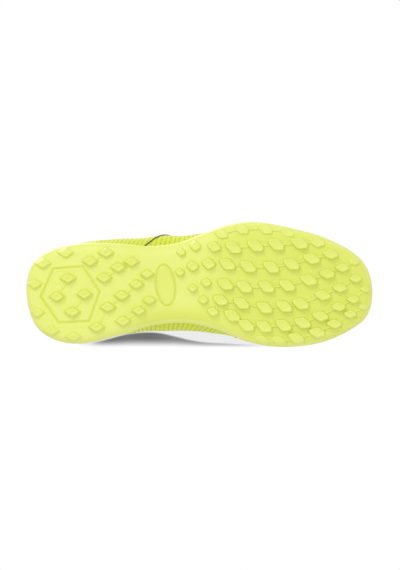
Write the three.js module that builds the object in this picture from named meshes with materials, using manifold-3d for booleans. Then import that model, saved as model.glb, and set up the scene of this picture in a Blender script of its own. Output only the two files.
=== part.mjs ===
// Turf shoe (soccer cleat with rubber lugs) for the right foot.
// Millimetres, +Z up, +X towards the toe, +Y towards the inner (medial) side of the foot.
import * as THREE from 'three';
import Module from 'manifold-3d';

const wasm = await Module();
wasm.setup();
const { Manifold, Mesh: SolidMesh } = wasm;

// ---------------------------------------------------------------- driving dimensions
const GAP = 0.3;
const FLOOR = 3.0;
const LUG_HEIGHT = 5.4;
const LUG_DRAFT = 1.5;
const LUG_ROOT = 3.4;
const SKIN = 1.8;
const LINING = 0.9;
const PUFF = 1.0;
const COUNTER = 1.6;
const COLLAR_PAD = 5.3;
const BOARD = 1.6;
const SOCKLINER = 4.0;
const EYESTAY = 1.2;
const LACE_RADIUS = 1.5;
const EYELET_RADIUS = 2.4;
const TONGUE = 4.4;
const CENTRE_Y = 7;

// Plan outline of the rubber at its widest, toe tip to heel back, one list for each side.
const LATERAL_EDGE = [
  [142.1, 6], [138, -12.7], [127.5, -25.2], [103.6, -38.1], [78, -45.6], [45, -51.3],
  [22, -48.6], [3, -41.8], [-16, -34.6], [-40, -31.6], [-66, -33.6], [-93, -34],
  [-114, -31], [-128, -25], [-137.4, -16], [-142.1, 5.3],
];
const MEDIAL_EDGE = [
  [142.1, 6], [138, 25], [126, 36], [98.7, 47.9], [64, 51.2], [38, 46.6],
  [17, 38], [-10, 31.7], [-38, 33.6], [-64, 41.2], [-98, 48.6],
  [-120, 44.8], [-134.5, 33.4], [-142.1, 5.3],
];

// Heights along X.
const SOLE_UNDERSIDE = [
  [-142, 8.2], [-120, 6.1], [-95, 5.4], [-62, 5.4], [-30, 8.0], [5, 5.8],
  [20, 5.4], [62, 5.4], [90, 6.8], [115, 9.6], [130, 12.2], [142, 14.8],
];
const FEATHER_HEIGHT = [
  [-142, 21], [-100, 19.4], [-50, 18.2], [0, 16], [40, 14.6], [80, 15.2], [110, 18.4], [142, 24],
];
const RIM_HEIGHT = [
  [-142, 31], [-120, 28], [-85, 24.6], [-35, 22.4], [0, 20.6], [40, 21.4],
  [80, 22.6], [110, 26.2], [130, 31], [142, 34.5],
];

// Along each side, k runs from 0 at the toe to 1 at the heel.
// [k, rubber wall, insole inset]
const WALL = [
  [0, 3.8, 5.6], [0.15, 3.8, 4.9], [0.38, 3.8, 4.2], [0.5, 5.2, 4.6],
  [0.6, 6.8, 5.2], [0.7, 5.8, 5.4], [0.8, 4, 6.2], [1, 3.8, 6.4],
];
// The upper's ribs rise from the feather line to the ridge, the throat edge or the collar.
// [k, x, half gap from the centre line, height]
const TOP_LINE = [
  [0, 112, 0, 47.5], [0.1, 104, 0, 49.5], [0.2, 84, 0, 54], [0.3, 58, 0, 60.5], [0.38, 37, 0, 66],
  [0.43, 23, 9, 70], [0.5, 2, 14, 77.5], [0.6, -28, 18.5, 88], [0.64, -40, 21.5, 91],
  [0.68, -53, 27, 86], [0.76, -80, 32.5, 70], [0.82, -100, 33, 66], [0.9, -120.5, 25.5, 72],
  [0.96, -129.5, 13, 81], [1, -132, 0, 84.5],
];
// [k, outward handle lateral, outward handle medial, upward handle, length of the top handle]
const RIB = [
  [0, 4, 4, 16, 16], [0.15, 5, 5, 18, 22], [0.3, 7, 7, 20, 26], [0.4, 9, 11, 22, 26],
  [0.47, 13, 16, 26, 26], [0.54, 25, 20, 30, 26], [0.6, 33, 20.5, 32, 26],
  [0.68, 24, 12, 30, 24], [0.76, 16, 4, 26, 20], [0.84, 7.5, 5, 24, 18], [1, 5, 5, 26, 18],
];
// [k, slope of the top handle in degrees below the horizontal, lateral and medial]
const SHOULDER = [
  [0, 0, 0], [0.38, 0, 0], [0.43, 14, 16], [0.5, 30, 40], [0.6, 44, 60],
  [0.68, 64, 80], [0.76, 80, 84], [1, 82, 82],
];

// ---------------------------------------------------------------- curves
const clamp01 = v => Math.min(1, Math.max(0, v));

function smooth(v, a, b) {
  const t = clamp01((v - a) / (b - a));
  return t * t * (3 - 2 * t);
}

function track(rows, column, freeEnds = false) {
  const x = rows.map(r => r[0]);
  const y = rows.map(r => r[column]);
  const chord = i => (y[i + 1] - y[i]) / (x[i + 1] - x[i]);
  const last = x.length - 1;
  const slope = x.map((_, i) => {
    if (i === 0) return freeEnds ? chord(0) : 0;
    if (i === last) return freeEnds ? chord(last - 1) : 0;
    const before = x[i] - x[i - 1];
    const after = x[i + 1] - x[i];
    return (chord(i - 1) * after + chord(i) * before) / (before + after);
  });
  return v => {
    let i = 0;
    while (i < last - 1 && v > x[i + 1]) i += 1;
    const h = x[i + 1] - x[i];
    const t = clamp01((v - x[i]) / h);
    const t2 = t * t;
    const t3 = t2 * t;
    return (2 * t3 - 3 * t2 + 1) * y[i] + (t3 - 2 * t2 + t) * h * slope[i]
      + (3 * t2 - 2 * t3) * y[i + 1] + (t3 - t2) * h * slope[i + 1];
  };
}

const underside = track(SOLE_UNDERSIDE, 1, true);
const featherHeight = track(FEATHER_HEIGHT, 1, true);
const rimHeight = track(RIM_HEIGHT, 1, true);
const wallAt = track(WALL, 1);
const insoleInset = track(WALL, 2);
const topX = track(TOP_LINE, 1);
const topZ = track(TOP_LINE, 3);
const gapRows = TOP_LINE.filter(r => r[0] >= 0.38);
const gapTrack = track(gapRows, 2, true);
const outHandle = [track(RIB, 1), track(RIB, 2)];
const upHandle = track(RIB, 3);
const topHandle = track(RIB, 4);
const shoulder = [track(SHOULDER, 1), track(SHOULDER, 2)];
const halfGap = k => (k <= 0.38 ? 0 : gapTrack(k));

// The outline as one loop: q = 0 at the toe, 1 at the heel, 2 at the toe again.
const loopPoints = [...LATERAL_EDGE, ...MEDIAL_EDGE.slice(1, -1).reverse()];
const loop = new THREE.CatmullRomCurve3(
  loopPoints.map(p => new THREE.Vector3(p[0], p[1], 0)), true, 'centripetal');
const STEPS = 1400;
const loopTable = [];
for (let i = 0; i <= STEPS; i += 1) loopTable.push(loop.getPoint(i / STEPS));
const reach = [0];
for (let i = 1; i <= STEPS; i += 1) reach.push(reach[i - 1] + loopTable[i].distanceTo(loopTable[i - 1]));
const heelStep = (LATERAL_EDGE.length - 1) / loopPoints.length * STEPS;
const heelReach = reach[Math.round(heelStep)];
const fullReach = reach[STEPS];

function edge(q) {
  const w = ((q % 2) + 2) % 2;
  const s = w <= 1 ? w * heelReach : heelReach + (w - 1) * (fullReach - heelReach);
  let low = 0;
  let high = STEPS;
  while (high - low > 1) {
    const mid = (low + high) >> 1;
    if (reach[mid] <= s) low = mid;
    else high = mid;
  }
  const t = (s - reach[low]) / Math.max(1e-9, reach[high] - reach[low]);
  return loopTable[low].clone().lerp(loopTable[high], t);
}

function outward(q) {
  const t = edge(q + 0.006).sub(edge(q - 0.006)).normalize();
  return new THREE.Vector3(-t.y, t.x, 0);
}

const alongSide = q => {
  const w = ((q % 2) + 2) % 2;
  return w <= 1 ? w : 2 - w;
};
const isMedial = q => (((q % 2) + 2) % 2 > 1 ? 1 : 0);

function inset(q, distance, z) {
  const p = edge(q).addScaledVector(outward(q), -distance);
  p.z = typeof z === 'function' ? z(p.x) : z;
  return p;
}

// ---------------------------------------------------------------- surface of the upper
function ridgeSlope(k) {
  const a = Math.max(0.03, k);
  return (topZ(a - 0.02) - topZ(a + 0.02)) / (topX(a - 0.02) - topX(a + 0.02));
}

function topPoint(q) {
  const k = alongSide(q);
  const side = isMedial(q) ? 1 : -1;
  return new THREE.Vector3(topX(k), CENTRE_Y + side * halfGap(k), topZ(k));
}

function rib(q, t) {
  const k = alongSide(q);
  const m = isMedial(q);
  const n = outward(q);
  const p0 = inset(q, wallAt(k), featherHeight);
  const p3 = topPoint(q);
  const p1 = p0.clone().addScaledVector(n, outHandle[m](k));
  p1.z += upHandle(k);
  const angle = shoulder[m](k) * Math.PI / 180;
  const flat = Math.cos(angle);
  const onRidge = 1 - smooth(k, 0.36, 0.44);
  const down = Math.sin(angle) - ridgeSlope(k) * n.x * onRidge * flat;
  const d = new THREE.Vector3(n.x * flat, n.y * flat, -down).normalize();
  const p2 = p3.clone().addScaledVector(d, topHandle(k));
  const s = 1 - t;
  return p0.multiplyScalar(s * s * s).addScaledVector(p1, 3 * s * s * t)
    .addScaledVector(p2, 3 * s * t * t).addScaledVector(p3, t * t * t);
}

function normal(q, t) {
  const k = alongSide(q);
  if (t > 0.995 && k <= 0.381) {
    return new THREE.Vector3(-ridgeSlope(k), 0, 1).normalize();
  }
  const a = Math.max(0, t - 0.01);
  const b = Math.min(1, t + 0.01);
  const step = 0.006;
  const du = rib(q + step, t).sub(rib(q - step, t));
  const dv = rib(q, b).sub(rib(q, a));
  return du.cross(dv).normalize().negate();
}

const skin = (q, t, d) => rib(q, t).addScaledVector(normal(q, t), d);

// ---------------------------------------------------------------- solids
function weld(triangles) {
  const index = new Map();
  const points = [];
  const corners = [];
  const id = p => {
    const key = [p.x, p.y, p.z].map(v => Math.round(v * 1000)).join();
    if (!index.has(key)) {
      index.set(key, points.length);
      points.push(p);
    }
    return index.get(key);
  };
  for (const tri of triangles) {
    const [a, b, c] = tri.map(id);
    if (a !== b && b !== c && c !== a) corners.push(a, b, c);
  }
  const build = list => new Manifold(new SolidMesh({
    numProp: 3,
    vertProperties: new Float32Array(points.flatMap(p => [p.x, p.y, p.z])),
    triVerts: new Uint32Array(list),
  }));
  const first = build(corners);
  if (first.volume() > 0) return first;
  const turned = [];
  for (let i = 0; i < corners.length; i += 3) turned.push(corners[i], corners[i + 2], corners[i + 1]);
  return build(turned);
}

function quad(list, a, b, c, d) {
  if (a.distanceToSquared(c) <= b.distanceToSquared(d)) list.push([a, b, c], [a, c, d]);
  else list.push([a, b, d], [b, c, d]);
}

// A shell between two grids of points. Rims close it where the grid has an edge.
function shell(outer, inner, rims = {}) {
  const tri = [];
  const rows = outer.length;
  const cols = outer[0].length;
  for (let i = 0; i < rows - 1; i += 1) {
    for (let j = 0; j < cols - 1; j += 1) {
      const ring = [[i, j], [i + 1, j], [i + 1, j + 1], [i, j + 1]];
      quad(tri, ...ring.map(([a, b]) => outer[a][b]));
      quad(tri, ...ring.map(([a, b]) => inner[a][b]).reverse());
    }
  }
  for (let i = 0; i < rows - 1; i += 1) {
    quad(tri, inner[i][0], inner[i + 1][0], outer[i + 1][0], outer[i][0]);
    const e = cols - 1;
    if (rims.top !== false) quad(tri, outer[i][e], outer[i + 1][e], inner[i + 1][e], inner[i][e]);
  }
  for (let j = 0; j < cols - 1; j += 1) {
    const e = rows - 1;
    quad(tri, outer[0][j], outer[0][j + 1], inner[0][j + 1], inner[0][j]);
    quad(tri, inner[e][j], inner[e][j + 1], outer[e][j + 1], outer[e][j]);
  }
  return weld(tri);
}

// Stacked rings closed by a grid across the bottom and the top.
function stack(rings, across = 6) {
  const tri = [];
  const n = rings[0].length;
  for (let r = 0; r < rings.length - 1; r += 1) {
    for (let i = 0; i < n; i += 1) {
      const j = (i + 1) % n;
      quad(tri, rings[r][i], rings[r][j], rings[r + 1][j], rings[r + 1][i]);
    }
  }
  const half = n / 2;
  const cap = (ring, flip) => {
    const strip = i => {
      const a = ring[i];
      const b = ring[(n - i) % n];
      const line = [];
      for (let s = 0; s <= across; s += 1) line.push(a.clone().lerp(b, s / across));
      if (ring.heightOf) {
        for (let s = 1; s < across; s += 1) line[s].z = ring.heightOf(line[s].x);
      }
      return line;
    };
    for (let i = 0; i < half; i += 1) {
      const p = strip(i);
      const q = strip(i + 1);
      for (let s = 0; s < across; s += 1) {
        if (flip) quad(tri, p[s], p[s + 1], q[s + 1], q[s]);
        else quad(tri, p[s], q[s], q[s + 1], p[s + 1]);
      }
    }
  };
  cap(rings[0], true);
  cap(rings[rings.length - 1], false);
  return weld(tri);
}

// Stations along one side, closer together where the toe and the heel turn.
const STATIONS = [
  0, 0.025, 0.055, 0.09, 0.13, 0.175, 0.225, 0.28, 0.33, 0.38, 0.42, 0.46, 0.5, 0.54,
  0.58, 0.615, 0.645, 0.67, 0.7, 0.74, 0.78, 0.82, 0.855, 0.885, 0.915, 0.943, 0.972, 1,
];
// Rows up each rib, closer together where it leaves the sole and where it ends.
const ROWS = [0, 0.06, 0.14, 0.24, 0.35, 0.47, 0.6, 0.72, 0.82, 0.91, 1];
const RING = [...STATIONS.slice(0, -1), ...STATIONS.slice(1).reverse().map(k => 2 - k)];

function span(from, to) {
  const all = [...STATIONS.map(k => -k).reverse(), ...STATIONS.slice(1), ...STATIONS.slice(0, -1).reverse().map(k => 2 - k)];
  const inside = all.filter(q => q > from + 0.006 && q < to - 0.006);
  return [from, ...inside, to];
}

// low and high are heights up the rib, as numbers or as functions of k.
function patch({ from, to, low = 0, high = 1, outer, inner, top }) {
  const lowAt = typeof low === 'function' ? low : () => low;
  const highAt = typeof high === 'function' ? high : () => high;
  const value = (f, q, t) => (typeof f === 'function' ? f(alongSide(q), t) : f);
  const middle = alongSide((from + to) / 2);
  const a = lowAt(middle);
  const b = highAt(middle);
  const rows = [a, ...ROWS.filter(t => t > a + 0.015 && t < b - 0.015), b];
  const grid = d => span(from, to).map(q => rows.map(row => {
    const k = alongSide(q);
    const t = lowAt(k) + (highAt(k) - lowAt(k)) * (row - a) / (b - a);
    return skin(q, t, value(d, q, t));
  }));
  return shell(grid(outer), grid(inner), { top });
}

const slab = (insetAt, lowAt, highAt, across) => {
  const ring = z => {
    const r = RING.map(q => inset(q, insetAt(alongSide(q)), z));
    r.heightOf = z;
    return r;
  };
  return stack([ring(lowAt), ring(highAt)], across);
};

// ---------------------------------------------------------------- outsole
// Lug centres row by row, from the lateral side to the medial side.
const HEEL_LUGS = [
  [-107.5, -5], [-116.5, 10], [-94, 8], [-104, 22.5],
  [-109.5, -26], [-128, -17], [-135, -0.5], [-133, 23], [-121, 38], [-103, 43], [-84, 35],
  [-89.5, -19], [-76.5, -26], [-78, -5.5], [-66.5, -14], [-55.5, -18.5], [-75, 18.5],
  [-63.5, 9], [-51.5, 0], [-43, -8.5], [-41, 13], [-49.5, 21.5], [-62.5, 30],
];
const FORE_LUGS = [
  [17.5, -42], [34, -46], [53.5, -46], [71.5, -43.5],
  [-15, -26.5], [-3.5, -31.5], [12, -31], [27.5, -30.5], [45.5, -32], [62.5, -33], [81.5, -34], [96, -35],
  [-16, -10], [-5.5, -15], [7.5, -17], [22.5, -17], [39.5, -15], [58.5, -14.5], [75, -17], [91.5, -21.5], [107, -25],
  [-5.5, 3], [5.5, -1.5], [21, -0.5], [36.5, 1.5], [54.5, 1.5], [71.5, 0.5], [89, -4], [104, -9], [116.5, -14],
  [126.5, -19],
  [3, 12.5], [17, 12.5], [34, 15], [53, 18.5], [69, 17.5], [82.5, 15.5], [100.5, 8.5], [114.5, 2.5], [127.5, -5],
  [11, 22], [26.5, 25], [38, 33], [52.5, 34], [68.5, 33], [84, 31], [98.5, 25.5], [113.5, 18], [125.5, 12],
  [136, 3.5],
  [51, 45.5], [65, 46], [79, 43.5], [96, 39], [110, 32], [123, 24], [134.5, 18],
  [105, 41.5], [118, 36.5], [129, 29.5],
];
const HEXAGON = [[-120.8, -12.7], [-95, -15.2], [-81.1, 7], [-91.3, 29.5], [-115.9, 31.1], [-129.8, 10.2]];
const MEDALLION = { x: -27.8, y: 0.8, halfWidth: 7.9, halfHeight: 16.8, tilt: 0.12 };
const GROOVE_WIDTH = 1.4;
const GROOVE_DEPTH = 0.9;

const tipHeight = x => Math.max(0, underside(x) - LUG_HEIGHT);

function lug(x, y, corners) {
  const ring = (grow, z) => corners.map(([a, b]) => {
    const r = Math.hypot(a, b);
    const px = x + a * (1 + grow / r);
    return new THREE.Vector3(px, y + b * (1 + grow / r), z(px));
  });
  const foot = ring(0, tipHeight);
  const root = ring(LUG_DRAFT, px => underside(px) + LUG_ROOT);
  const tri = [];
  for (let i = 0; i < 4; i += 1) {
    const j = (i + 1) % 4;
    quad(tri, foot[i], foot[j], root[j], root[i]);
  }
  quad(tri, foot[3], foot[2], foot[1], foot[0]);
  quad(tri, root[0], root[1], root[2], root[3]);
  return weld(tri);
}

// Heel lugs are rhombi. Forefoot lugs grow to slanted blocks at the ball.
const heelLug = ([x, y]) => lug(x, y, [[-6.6, 0], [0, -3.7], [6.6, 0], [0, 3.7]]);

function foreLug([x, y]) {
  const ball = smooth(x, 0, 30) * (1 - smooth(x, 96, 125));
  const a = 4.4 + 1.4 * ball;
  const b = 3.8 + 0.6 * ball;
  const square = [[-a, 0], [0, -b], [a, 0], [0, b]];
  const slanted = [[-a - 1, -b], [a - 1, -b], [a + 1, b], [1 - a, b]];
  const turn = [[-a, -b * 0.4], [a * 0.4, -b], [a, b * 0.4], [-a * 0.4, b]];
  if (ball > 0.6) return lug(x, y, slanted);
  return lug(x, y, ball > 0.25 ? turn : square);
}

function grooveRing(points) {
  const centre = points.reduce((s, p) => [s[0] + p[0] / points.length, s[1] + p[1] / points.length], [0, 0]);
  const moved = (grow, z) => points.map(([x, y]) => {
    const r = Math.hypot(x - centre[0], y - centre[1]);
    const f = 1 + grow / r;
    const px = centre[0] + (x - centre[0]) * f;
    return new THREE.Vector3(px, centre[1] + (y - centre[1]) * f, z(px));
  });
  const floor = px => underside(px) + GROOVE_DEPTH;
  const below = () => -5;
  const half = GROOVE_WIDTH / 2;
  const [a, b, c, d] = [moved(-half, below), moved(half, below), moved(half, floor), moved(-half, floor)];
  const tri = [];
  for (let i = 0; i < points.length; i += 1) {
    const j = (i + 1) % points.length;
    quad(tri, a[i], a[j], b[j], b[i]);
    quad(tri, b[i], b[j], c[j], c[i]);
    quad(tri, c[i], c[j], d[j], d[i]);
    quad(tri, d[i], d[j], a[j], a[i]);
  }
  return weld(tri);
}

function medallionOutline() {
  const points = [];
  const { x, y, halfWidth, halfHeight, tilt } = MEDALLION;
  for (let i = 0; i < 24; i += 1) {
    const a = i / 24 * 2 * Math.PI;
    const u = halfWidth * Math.cos(a);
    const v = halfHeight * Math.sin(a);
    points.push([x + u * Math.cos(tilt) + v * Math.sin(tilt), y - u * Math.sin(tilt) + v * Math.cos(tilt)]);
  }
  return points;
}

const splitEdges = points => points.flatMap((p, i) => {
  const n = points[(i + 1) % points.length];
  return [0, 1, 2].map(s => [p[0] + (n[0] - p[0]) * s / 3, p[1] + (n[1] - p[1]) * s / 3]);
});

function outsole() {
  const ring = (distance, z) => {
    const r = RING.map(q => inset(q, distance, z));
    r.heightOf = z;
    return r;
  };
  const cup = stack([
    ring(6.2, underside),
    ring(2.6, x => underside(x) + 1.1),
    ring(0.7, x => underside(x) + 4),
    ring(0, x => underside(x) * 0.4 + rimHeight(x) * 0.6),
    ring(0.5, x => rimHeight(x) - 1.2),
    ring(1.4, rimHeight),
  ]);
  const body = t => {
    const r = RING.map(q => skin(q, t, GAP));
    return r;
  };
  const seat = z => {
    const r = RING.map(q => inset(q, wallAt(alongSide(q)) - GAP, z));
    r.heightOf = z;
    return r;
  };
  const cavity = stack([seat(x => underside(x) + FLOOR), seat(featherHeight),
    body(0.06), body(0.14), body(0.24), body(0.35)], 6);
  const lugs = Manifold.union([...HEEL_LUGS.map(heelLug), ...FORE_LUGS.map(foreLug)]);
  const grooves = Manifold.union(grooveRing(splitEdges(HEXAGON)), grooveRing(medallionOutline()));
  const footprint = stack([ring(0.5, () => -2), ring(0.5, () => 30)]);
  return cup.subtract(grooves).add(lugs.intersect(footprint)).subtract(cavity);
}

// ---------------------------------------------------------------- layers of the upper
// How far the lining stands off the skin: behind toe puff, heel counter and collar pad.
const puffZone = (k, t) => (1 - smooth(k, 0.09, 0.13)) * (1 - smooth(t, 0.47, 0.6));
const counterZone = (k, t) => smooth(k, 0.74, 0.78) * (1 - smooth(t, 0.47, 0.6));
const padZone = (k, t) => smooth(k, 0.67, 0.7) * smooth(t, 0.47, 0.6) * (1 - 0.78 * smooth(t, 0.82, 1));
const liningFace = (k, t) => -(SKIN + GAP + (PUFF + GAP) * puffZone(k, t)
  + (COUNTER + GAP) * counterZone(k, t) * (1 - padZone(k, t)) + COLLAR_PAD * padZone(k, t));
const liningBack = (k, t) => liningFace(k, t) - LINING;

const THROAT = 0.384;
const SEAM = 0.0012;
const throatRim = k => 1 - 0.1 * (1 - smooth(k, THROAT, 0.43));

function eyelet(index, medial) {
  const k = 0.425 + index * 0.049;
  return medial ? 2 - k : k;
}
const EYELET_T = 0.885;
const EYELETS = [0, 1, 2, 3, 4];

function bore(q) {
  const axis = normal(q, EYELET_T);
  const turn = new THREE.Quaternion().setFromUnitVectors(new THREE.Vector3(0, 0, 1), axis);
  const at = rib(q, EYELET_T);
  const m = new THREE.Matrix4().compose(at, turn, new THREE.Vector3(1, 1, 1));
  return Manifold.cylinder(14, EYELET_RADIUS, EYELET_RADIUS, 12, true).transform(m.elements);
}
const bores = side => Manifold.union(EYELETS.map(i => bore(eyelet(i, side))));

const vamp = patch({ from: -0.38, to: 0.38, outer: 0, inner: -SKIN, top: false });
const vampLining = patch({
  from: -0.378, to: 0.378, low: 0.01, outer: liningFace, inner: liningBack, top: false,
});
const toePuff = patch({
  from: -0.09, to: 0.09, low: 0.06, high: 0.47, outer: -SKIN - GAP, inner: -SKIN - GAP - PUFF,
});

function quarter(side) {
  const [from, to] = side ? [1 + SEAM, 2 - THROAT] : [THROAT, 1 - SEAM];
  const raw = patch({ from, to, high: throatRim, outer: 0, inner: -SKIN });
  return raw.subtract(bores(side));
}

function quarterLining(side) {
  const [from, to] = side ? [1.22 + SEAM, 2 - THROAT] : [THROAT, 0.78 - SEAM];
  const high = k => throatRim(k) - 0.012;
  const raw = patch({ from, to, low: 0.01, high, outer: liningFace, inner: liningBack });
  return raw.subtract(bores(side));
}

const heelLining = patch({
  from: 0.78 + SEAM, to: 1.22 - SEAM, low: 0.01, high: 0.988, outer: liningFace, inner: liningBack,
});
const heelCounter = patch({
  from: 0.78, to: 1.22, low: 0.06, high: 0.47, outer: -SKIN - GAP, inner: -SKIN - GAP - COUNTER,
});
const collarPad = patch({
  from: 0.7,
  to: 1.3,
  low: 0.6,
  high: 0.955,
  outer: -SKIN - GAP,
  inner: (k, t) => -SKIN - COLLAR_PAD * padZone(k, t),
});
const heelOverlay = patch({
  from: 0.945, to: 1.055, low: k => 0.3 + 0.1 * (1 - smooth(k, 0.945, 1)), high: 0.97,
  outer: GAP + 1.1, inner: GAP,
});

function eyestay(side) {
  const [from, to] = side ? [1.355, 1.606] : [0.394, 0.645];
  const raw = patch({
    from, to,
    low: k => 0.7 + 0.05 * smooth(k, 0.52, 0.65),
    high: k => throatRim(k) - 0.015,
    outer: GAP + EYESTAY, inner: GAP,
  });
  return raw.subtract(bores(side));
}

// ---------------------------------------------------------------- tongue
const TONGUE_LOW = 0.352;
const TONGUE_HIGH = 0.64;
const TONGUE_DROP = 8.2;

function tongueLine(u) {
  const k = TONGUE_LOW + (TONGUE_HIGH - TONGUE_LOW) * Math.min(u, 1);
  const over = Math.max(0, u - 1);
  const reachT = k < 0.4 ? 0.9 : 0.845;
  const t = reachT + (0.845 - reachT) * smooth(k, 0.36, 0.42);
  const a = skin(k, t, -TONGUE_DROP);
  const b = skin(2 - k, t, -TONGUE_DROP);
  const crown = topPoint(k).lerp(topPoint(2 - k), 0.5);
  crown.z -= 7.4;
  const pull = new THREE.Vector3(-29, 0, 18 - 6 * over).multiplyScalar(over * 3);
  const narrow = 1 - 0.28 * smooth(over, 0.1, 0.3) - 0.3 * smooth(over, 0.22, 0.32);
  return s => {
    const w = 2 * s - 1;
    const mid = a.clone().lerp(b, 0.5);
    const point = a.clone().lerp(b, 0.5 + w * 0.5 * narrow);
    const rise = crown.clone().sub(mid);
    return point.addScaledVector(rise, (1 - w * w)).add(pull);
  };
}

function tongueGrid(depth) {
  const grid = [];
  const us = [0, 0.1, 0.2, 0.3, 0.4, 0.5, 0.6, 0.7, 0.8, 0.9, 1, 1.08, 1.16, 1.23, 1.28, 1.31];
  for (const u of us) {
    const line = [];
    for (let j = 0; j <= 8; j += 1) {
      const s = j / 8;
      const h = 0.01;
      const a = tongueLine(u - h)(s);
      const b = tongueLine(u + h)(s);
      const c = tongueLine(u)(s - h);
      const d = tongueLine(u)(s + h);
      const n = b.sub(a).cross(d.sub(c)).normalize();
      if (n.z < 0) n.negate();
      const edgeThin = 0.45 + 0.55 * smooth(Math.min(s, 1 - s), 0, 0.16) * smooth(1.33 - u, 0, 0.12);
      const baseThin = 0.5 + 0.5 * smooth(u, 0.02, 0.25);
      const p = tongueLine(u)(s);
      line.push(p.addScaledVector(n, -depth * edgeThin * baseThin));
    }
    grid.push(line);
  }
  return grid;
}
const tongue = shell(tongueGrid(0), tongueGrid(TONGUE));

function tongueLoop() {
  const strip = depth => [0.7, 0.76].map(u => [0.36, 0.43, 0.5, 0.57, 0.64].map(s => {
    const p = tongueLine(u)(s);
    const n = new THREE.Vector3(0.5, 0, 0.86);
    return p.addScaledVector(n, depth);
  }));
  return shell(strip(1.2), strip(GAP));
}

// ---------------------------------------------------------------- lace
const LACE_OUT = GAP + EYESTAY + GAP + LACE_RADIUS + 0.2;
const LACE_IN = -(SKIN + LINING + GAP + GAP + LACE_RADIUS + 0.2);

function bar(index, fromMedial) {
  const side = q => [
    skin(q, EYELET_T, LACE_IN + 1.2),
    skin(q, EYELET_T, LACE_OUT - 0.8),
    skin(q, EYELET_T + 0.035, LACE_OUT + 0.4),
    skin(q, 0.985, LACE_OUT),
  ];
  const a = side(eyelet(index, fromMedial));
  const b = side(eyelet(index, !fromMedial)).reverse();
  const crown = a[3].clone().lerp(b[0], 0.5);
  crown.z += 1.6;
  return [...a, crown, ...b];
}

function laceCurve() {
  const points = [];
  const tail = (q, back) => [skin(q + back * 1.4, 0.83, LACE_IN), skin(q + back, 0.86, LACE_IN)];
  points.push(...tail(eyelet(0, false), -0.013));
  EYELETS.forEach(i => {
    points.push(...bar(i, i % 2 === 1));
    if (i < 4) {
      const medial = i % 2 === 0;
      const a = eyelet(i, medial);
      const b = eyelet(i + 1, medial);
      [0.22, 0.5, 0.78].forEach(s => points.push(skin(a + (b - a) * s, EYELET_T, LACE_IN)));
    }
  });
  points.push(...tail(eyelet(4, true), -0.013).reverse());
  return new THREE.CatmullRomCurve3(points, false, 'centripetal');
}

function tube(curve, radius, segments, sides) {
  const g = new THREE.TubeGeometry(curve, segments, radius, sides, false);
  const p = g.getAttribute('position');
  const at = (i, j) => new THREE.Vector3().fromBufferAttribute(p, i * (sides + 1) + (j % sides));
  const tri = [];
  for (let i = 0; i < segments; i += 1) {
    for (let j = 0; j < sides; j += 1) quad(tri, at(i, j), at(i, j + 1), at(i + 1, j + 1), at(i + 1, j));
  }
  for (let j = 1; j < sides - 1; j += 1) {
    tri.push([at(0, 0), at(0, j + 1), at(0, j)]);
    tri.push([at(segments, 0), at(segments, j), at(segments, j + 1)]);
  }
  return weld(tri);
}

const laceLine = laceCurve();
const lace = tube(laceLine, LACE_RADIUS, 116, 6);

function aglet(end) {
  const at = laceLine.getPoint(end);
  const along = laceLine.getTangent(end).multiplyScalar(end === 0 ? -1 : 1);
  const a = at.clone().addScaledVector(along, GAP);
  const b = at.clone().addScaledVector(along, GAP + 9);
  return tube(new THREE.LineCurve3(a, b), LACE_RADIUS - 0.2, 1, 8);
}

// ---------------------------------------------------------------- pull loop
const LOOP = { x: -138.4, z: 80, height: 19, width: 11, leg: 0.9, bow: 2.6 };

function pullLoop() {
  const outline = grow => {
    const points = [];
    const r = LOOP.bow + grow;
    for (let i = 0; i <= 8; i += 1) {
      const a = Math.PI * i / 8;
      points.push([r * Math.cos(a), LOOP.height - LOOP.bow + r * Math.sin(a)]);
    }
    for (let i = 0; i <= 4; i += 1) {
      const a = Math.PI + Math.PI * i / 4;
      points.push([r * Math.cos(a), LOOP.bow + r * Math.sin(a)]);
    }
    return points;
  };
  const ring = (grow, y) => outline(grow).map(([x, z]) => new THREE.Vector3(LOOP.x + x, y, LOOP.z + z));
  const y0 = CENTRE_Y - LOOP.width / 2;
  const y1 = CENTRE_Y + LOOP.width / 2;
  const [a, b, c, d] = [ring(0, y0), ring(LOOP.leg, y0), ring(LOOP.leg, y1), ring(0, y1)];
  const tri = [];
  for (let i = 0; i < a.length; i += 1) {
    const j = (i + 1) % a.length;
    quad(tri, a[i], a[j], b[j], b[i]);
    quad(tri, b[i], b[j], c[j], c[i]);
    quad(tri, c[i], c[j], d[j], d[i]);
    quad(tri, d[i], d[j], a[j], a[i]);
  }
  return weld(tri);
}

// ---------------------------------------------------------------- inside the cup
const feather = (k, extra = 0) => wallAt(k) + extra;
const midsole = slab(k => feather(k), x => underside(x) + FLOOR + GAP, x => featherHeight(x) - GAP);
const boardTop = x => featherHeight(x) + BOARD;
const lastingBoard = slab(k => feather(k, insoleInset(k)), featherHeight, boardTop);
const sockliner = slab(
  k => feather(k, insoleInset(k) + 0.5), x => boardTop(x) + GAP, x => boardTop(x) + GAP + SOCKLINER);

// ---------------------------------------------------------------- assembly
const finish = (color, roughness) => new THREE.MeshStandardMaterial({ color, roughness, metalness: 0 });
const RUBBER = finish(0xe4ea7c, 0.55);
const FOAM = finish(0xf2f2ea, 0.8);
const MESH_CLOTH = finish(0xdce85a, 0.85);
const LINING_CLOTH = finish(0x3a3d33, 0.9);
const TRIM = finish(0x5a6128, 0.6);
const BOARD_FIBRE = finish(0xcfc8b4, 0.9);
const LACE_CLOTH = finish(0xe8f06a, 0.85);

const shoe = new THREE.Group();
shoe.name = 'turf_shoe';

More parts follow.
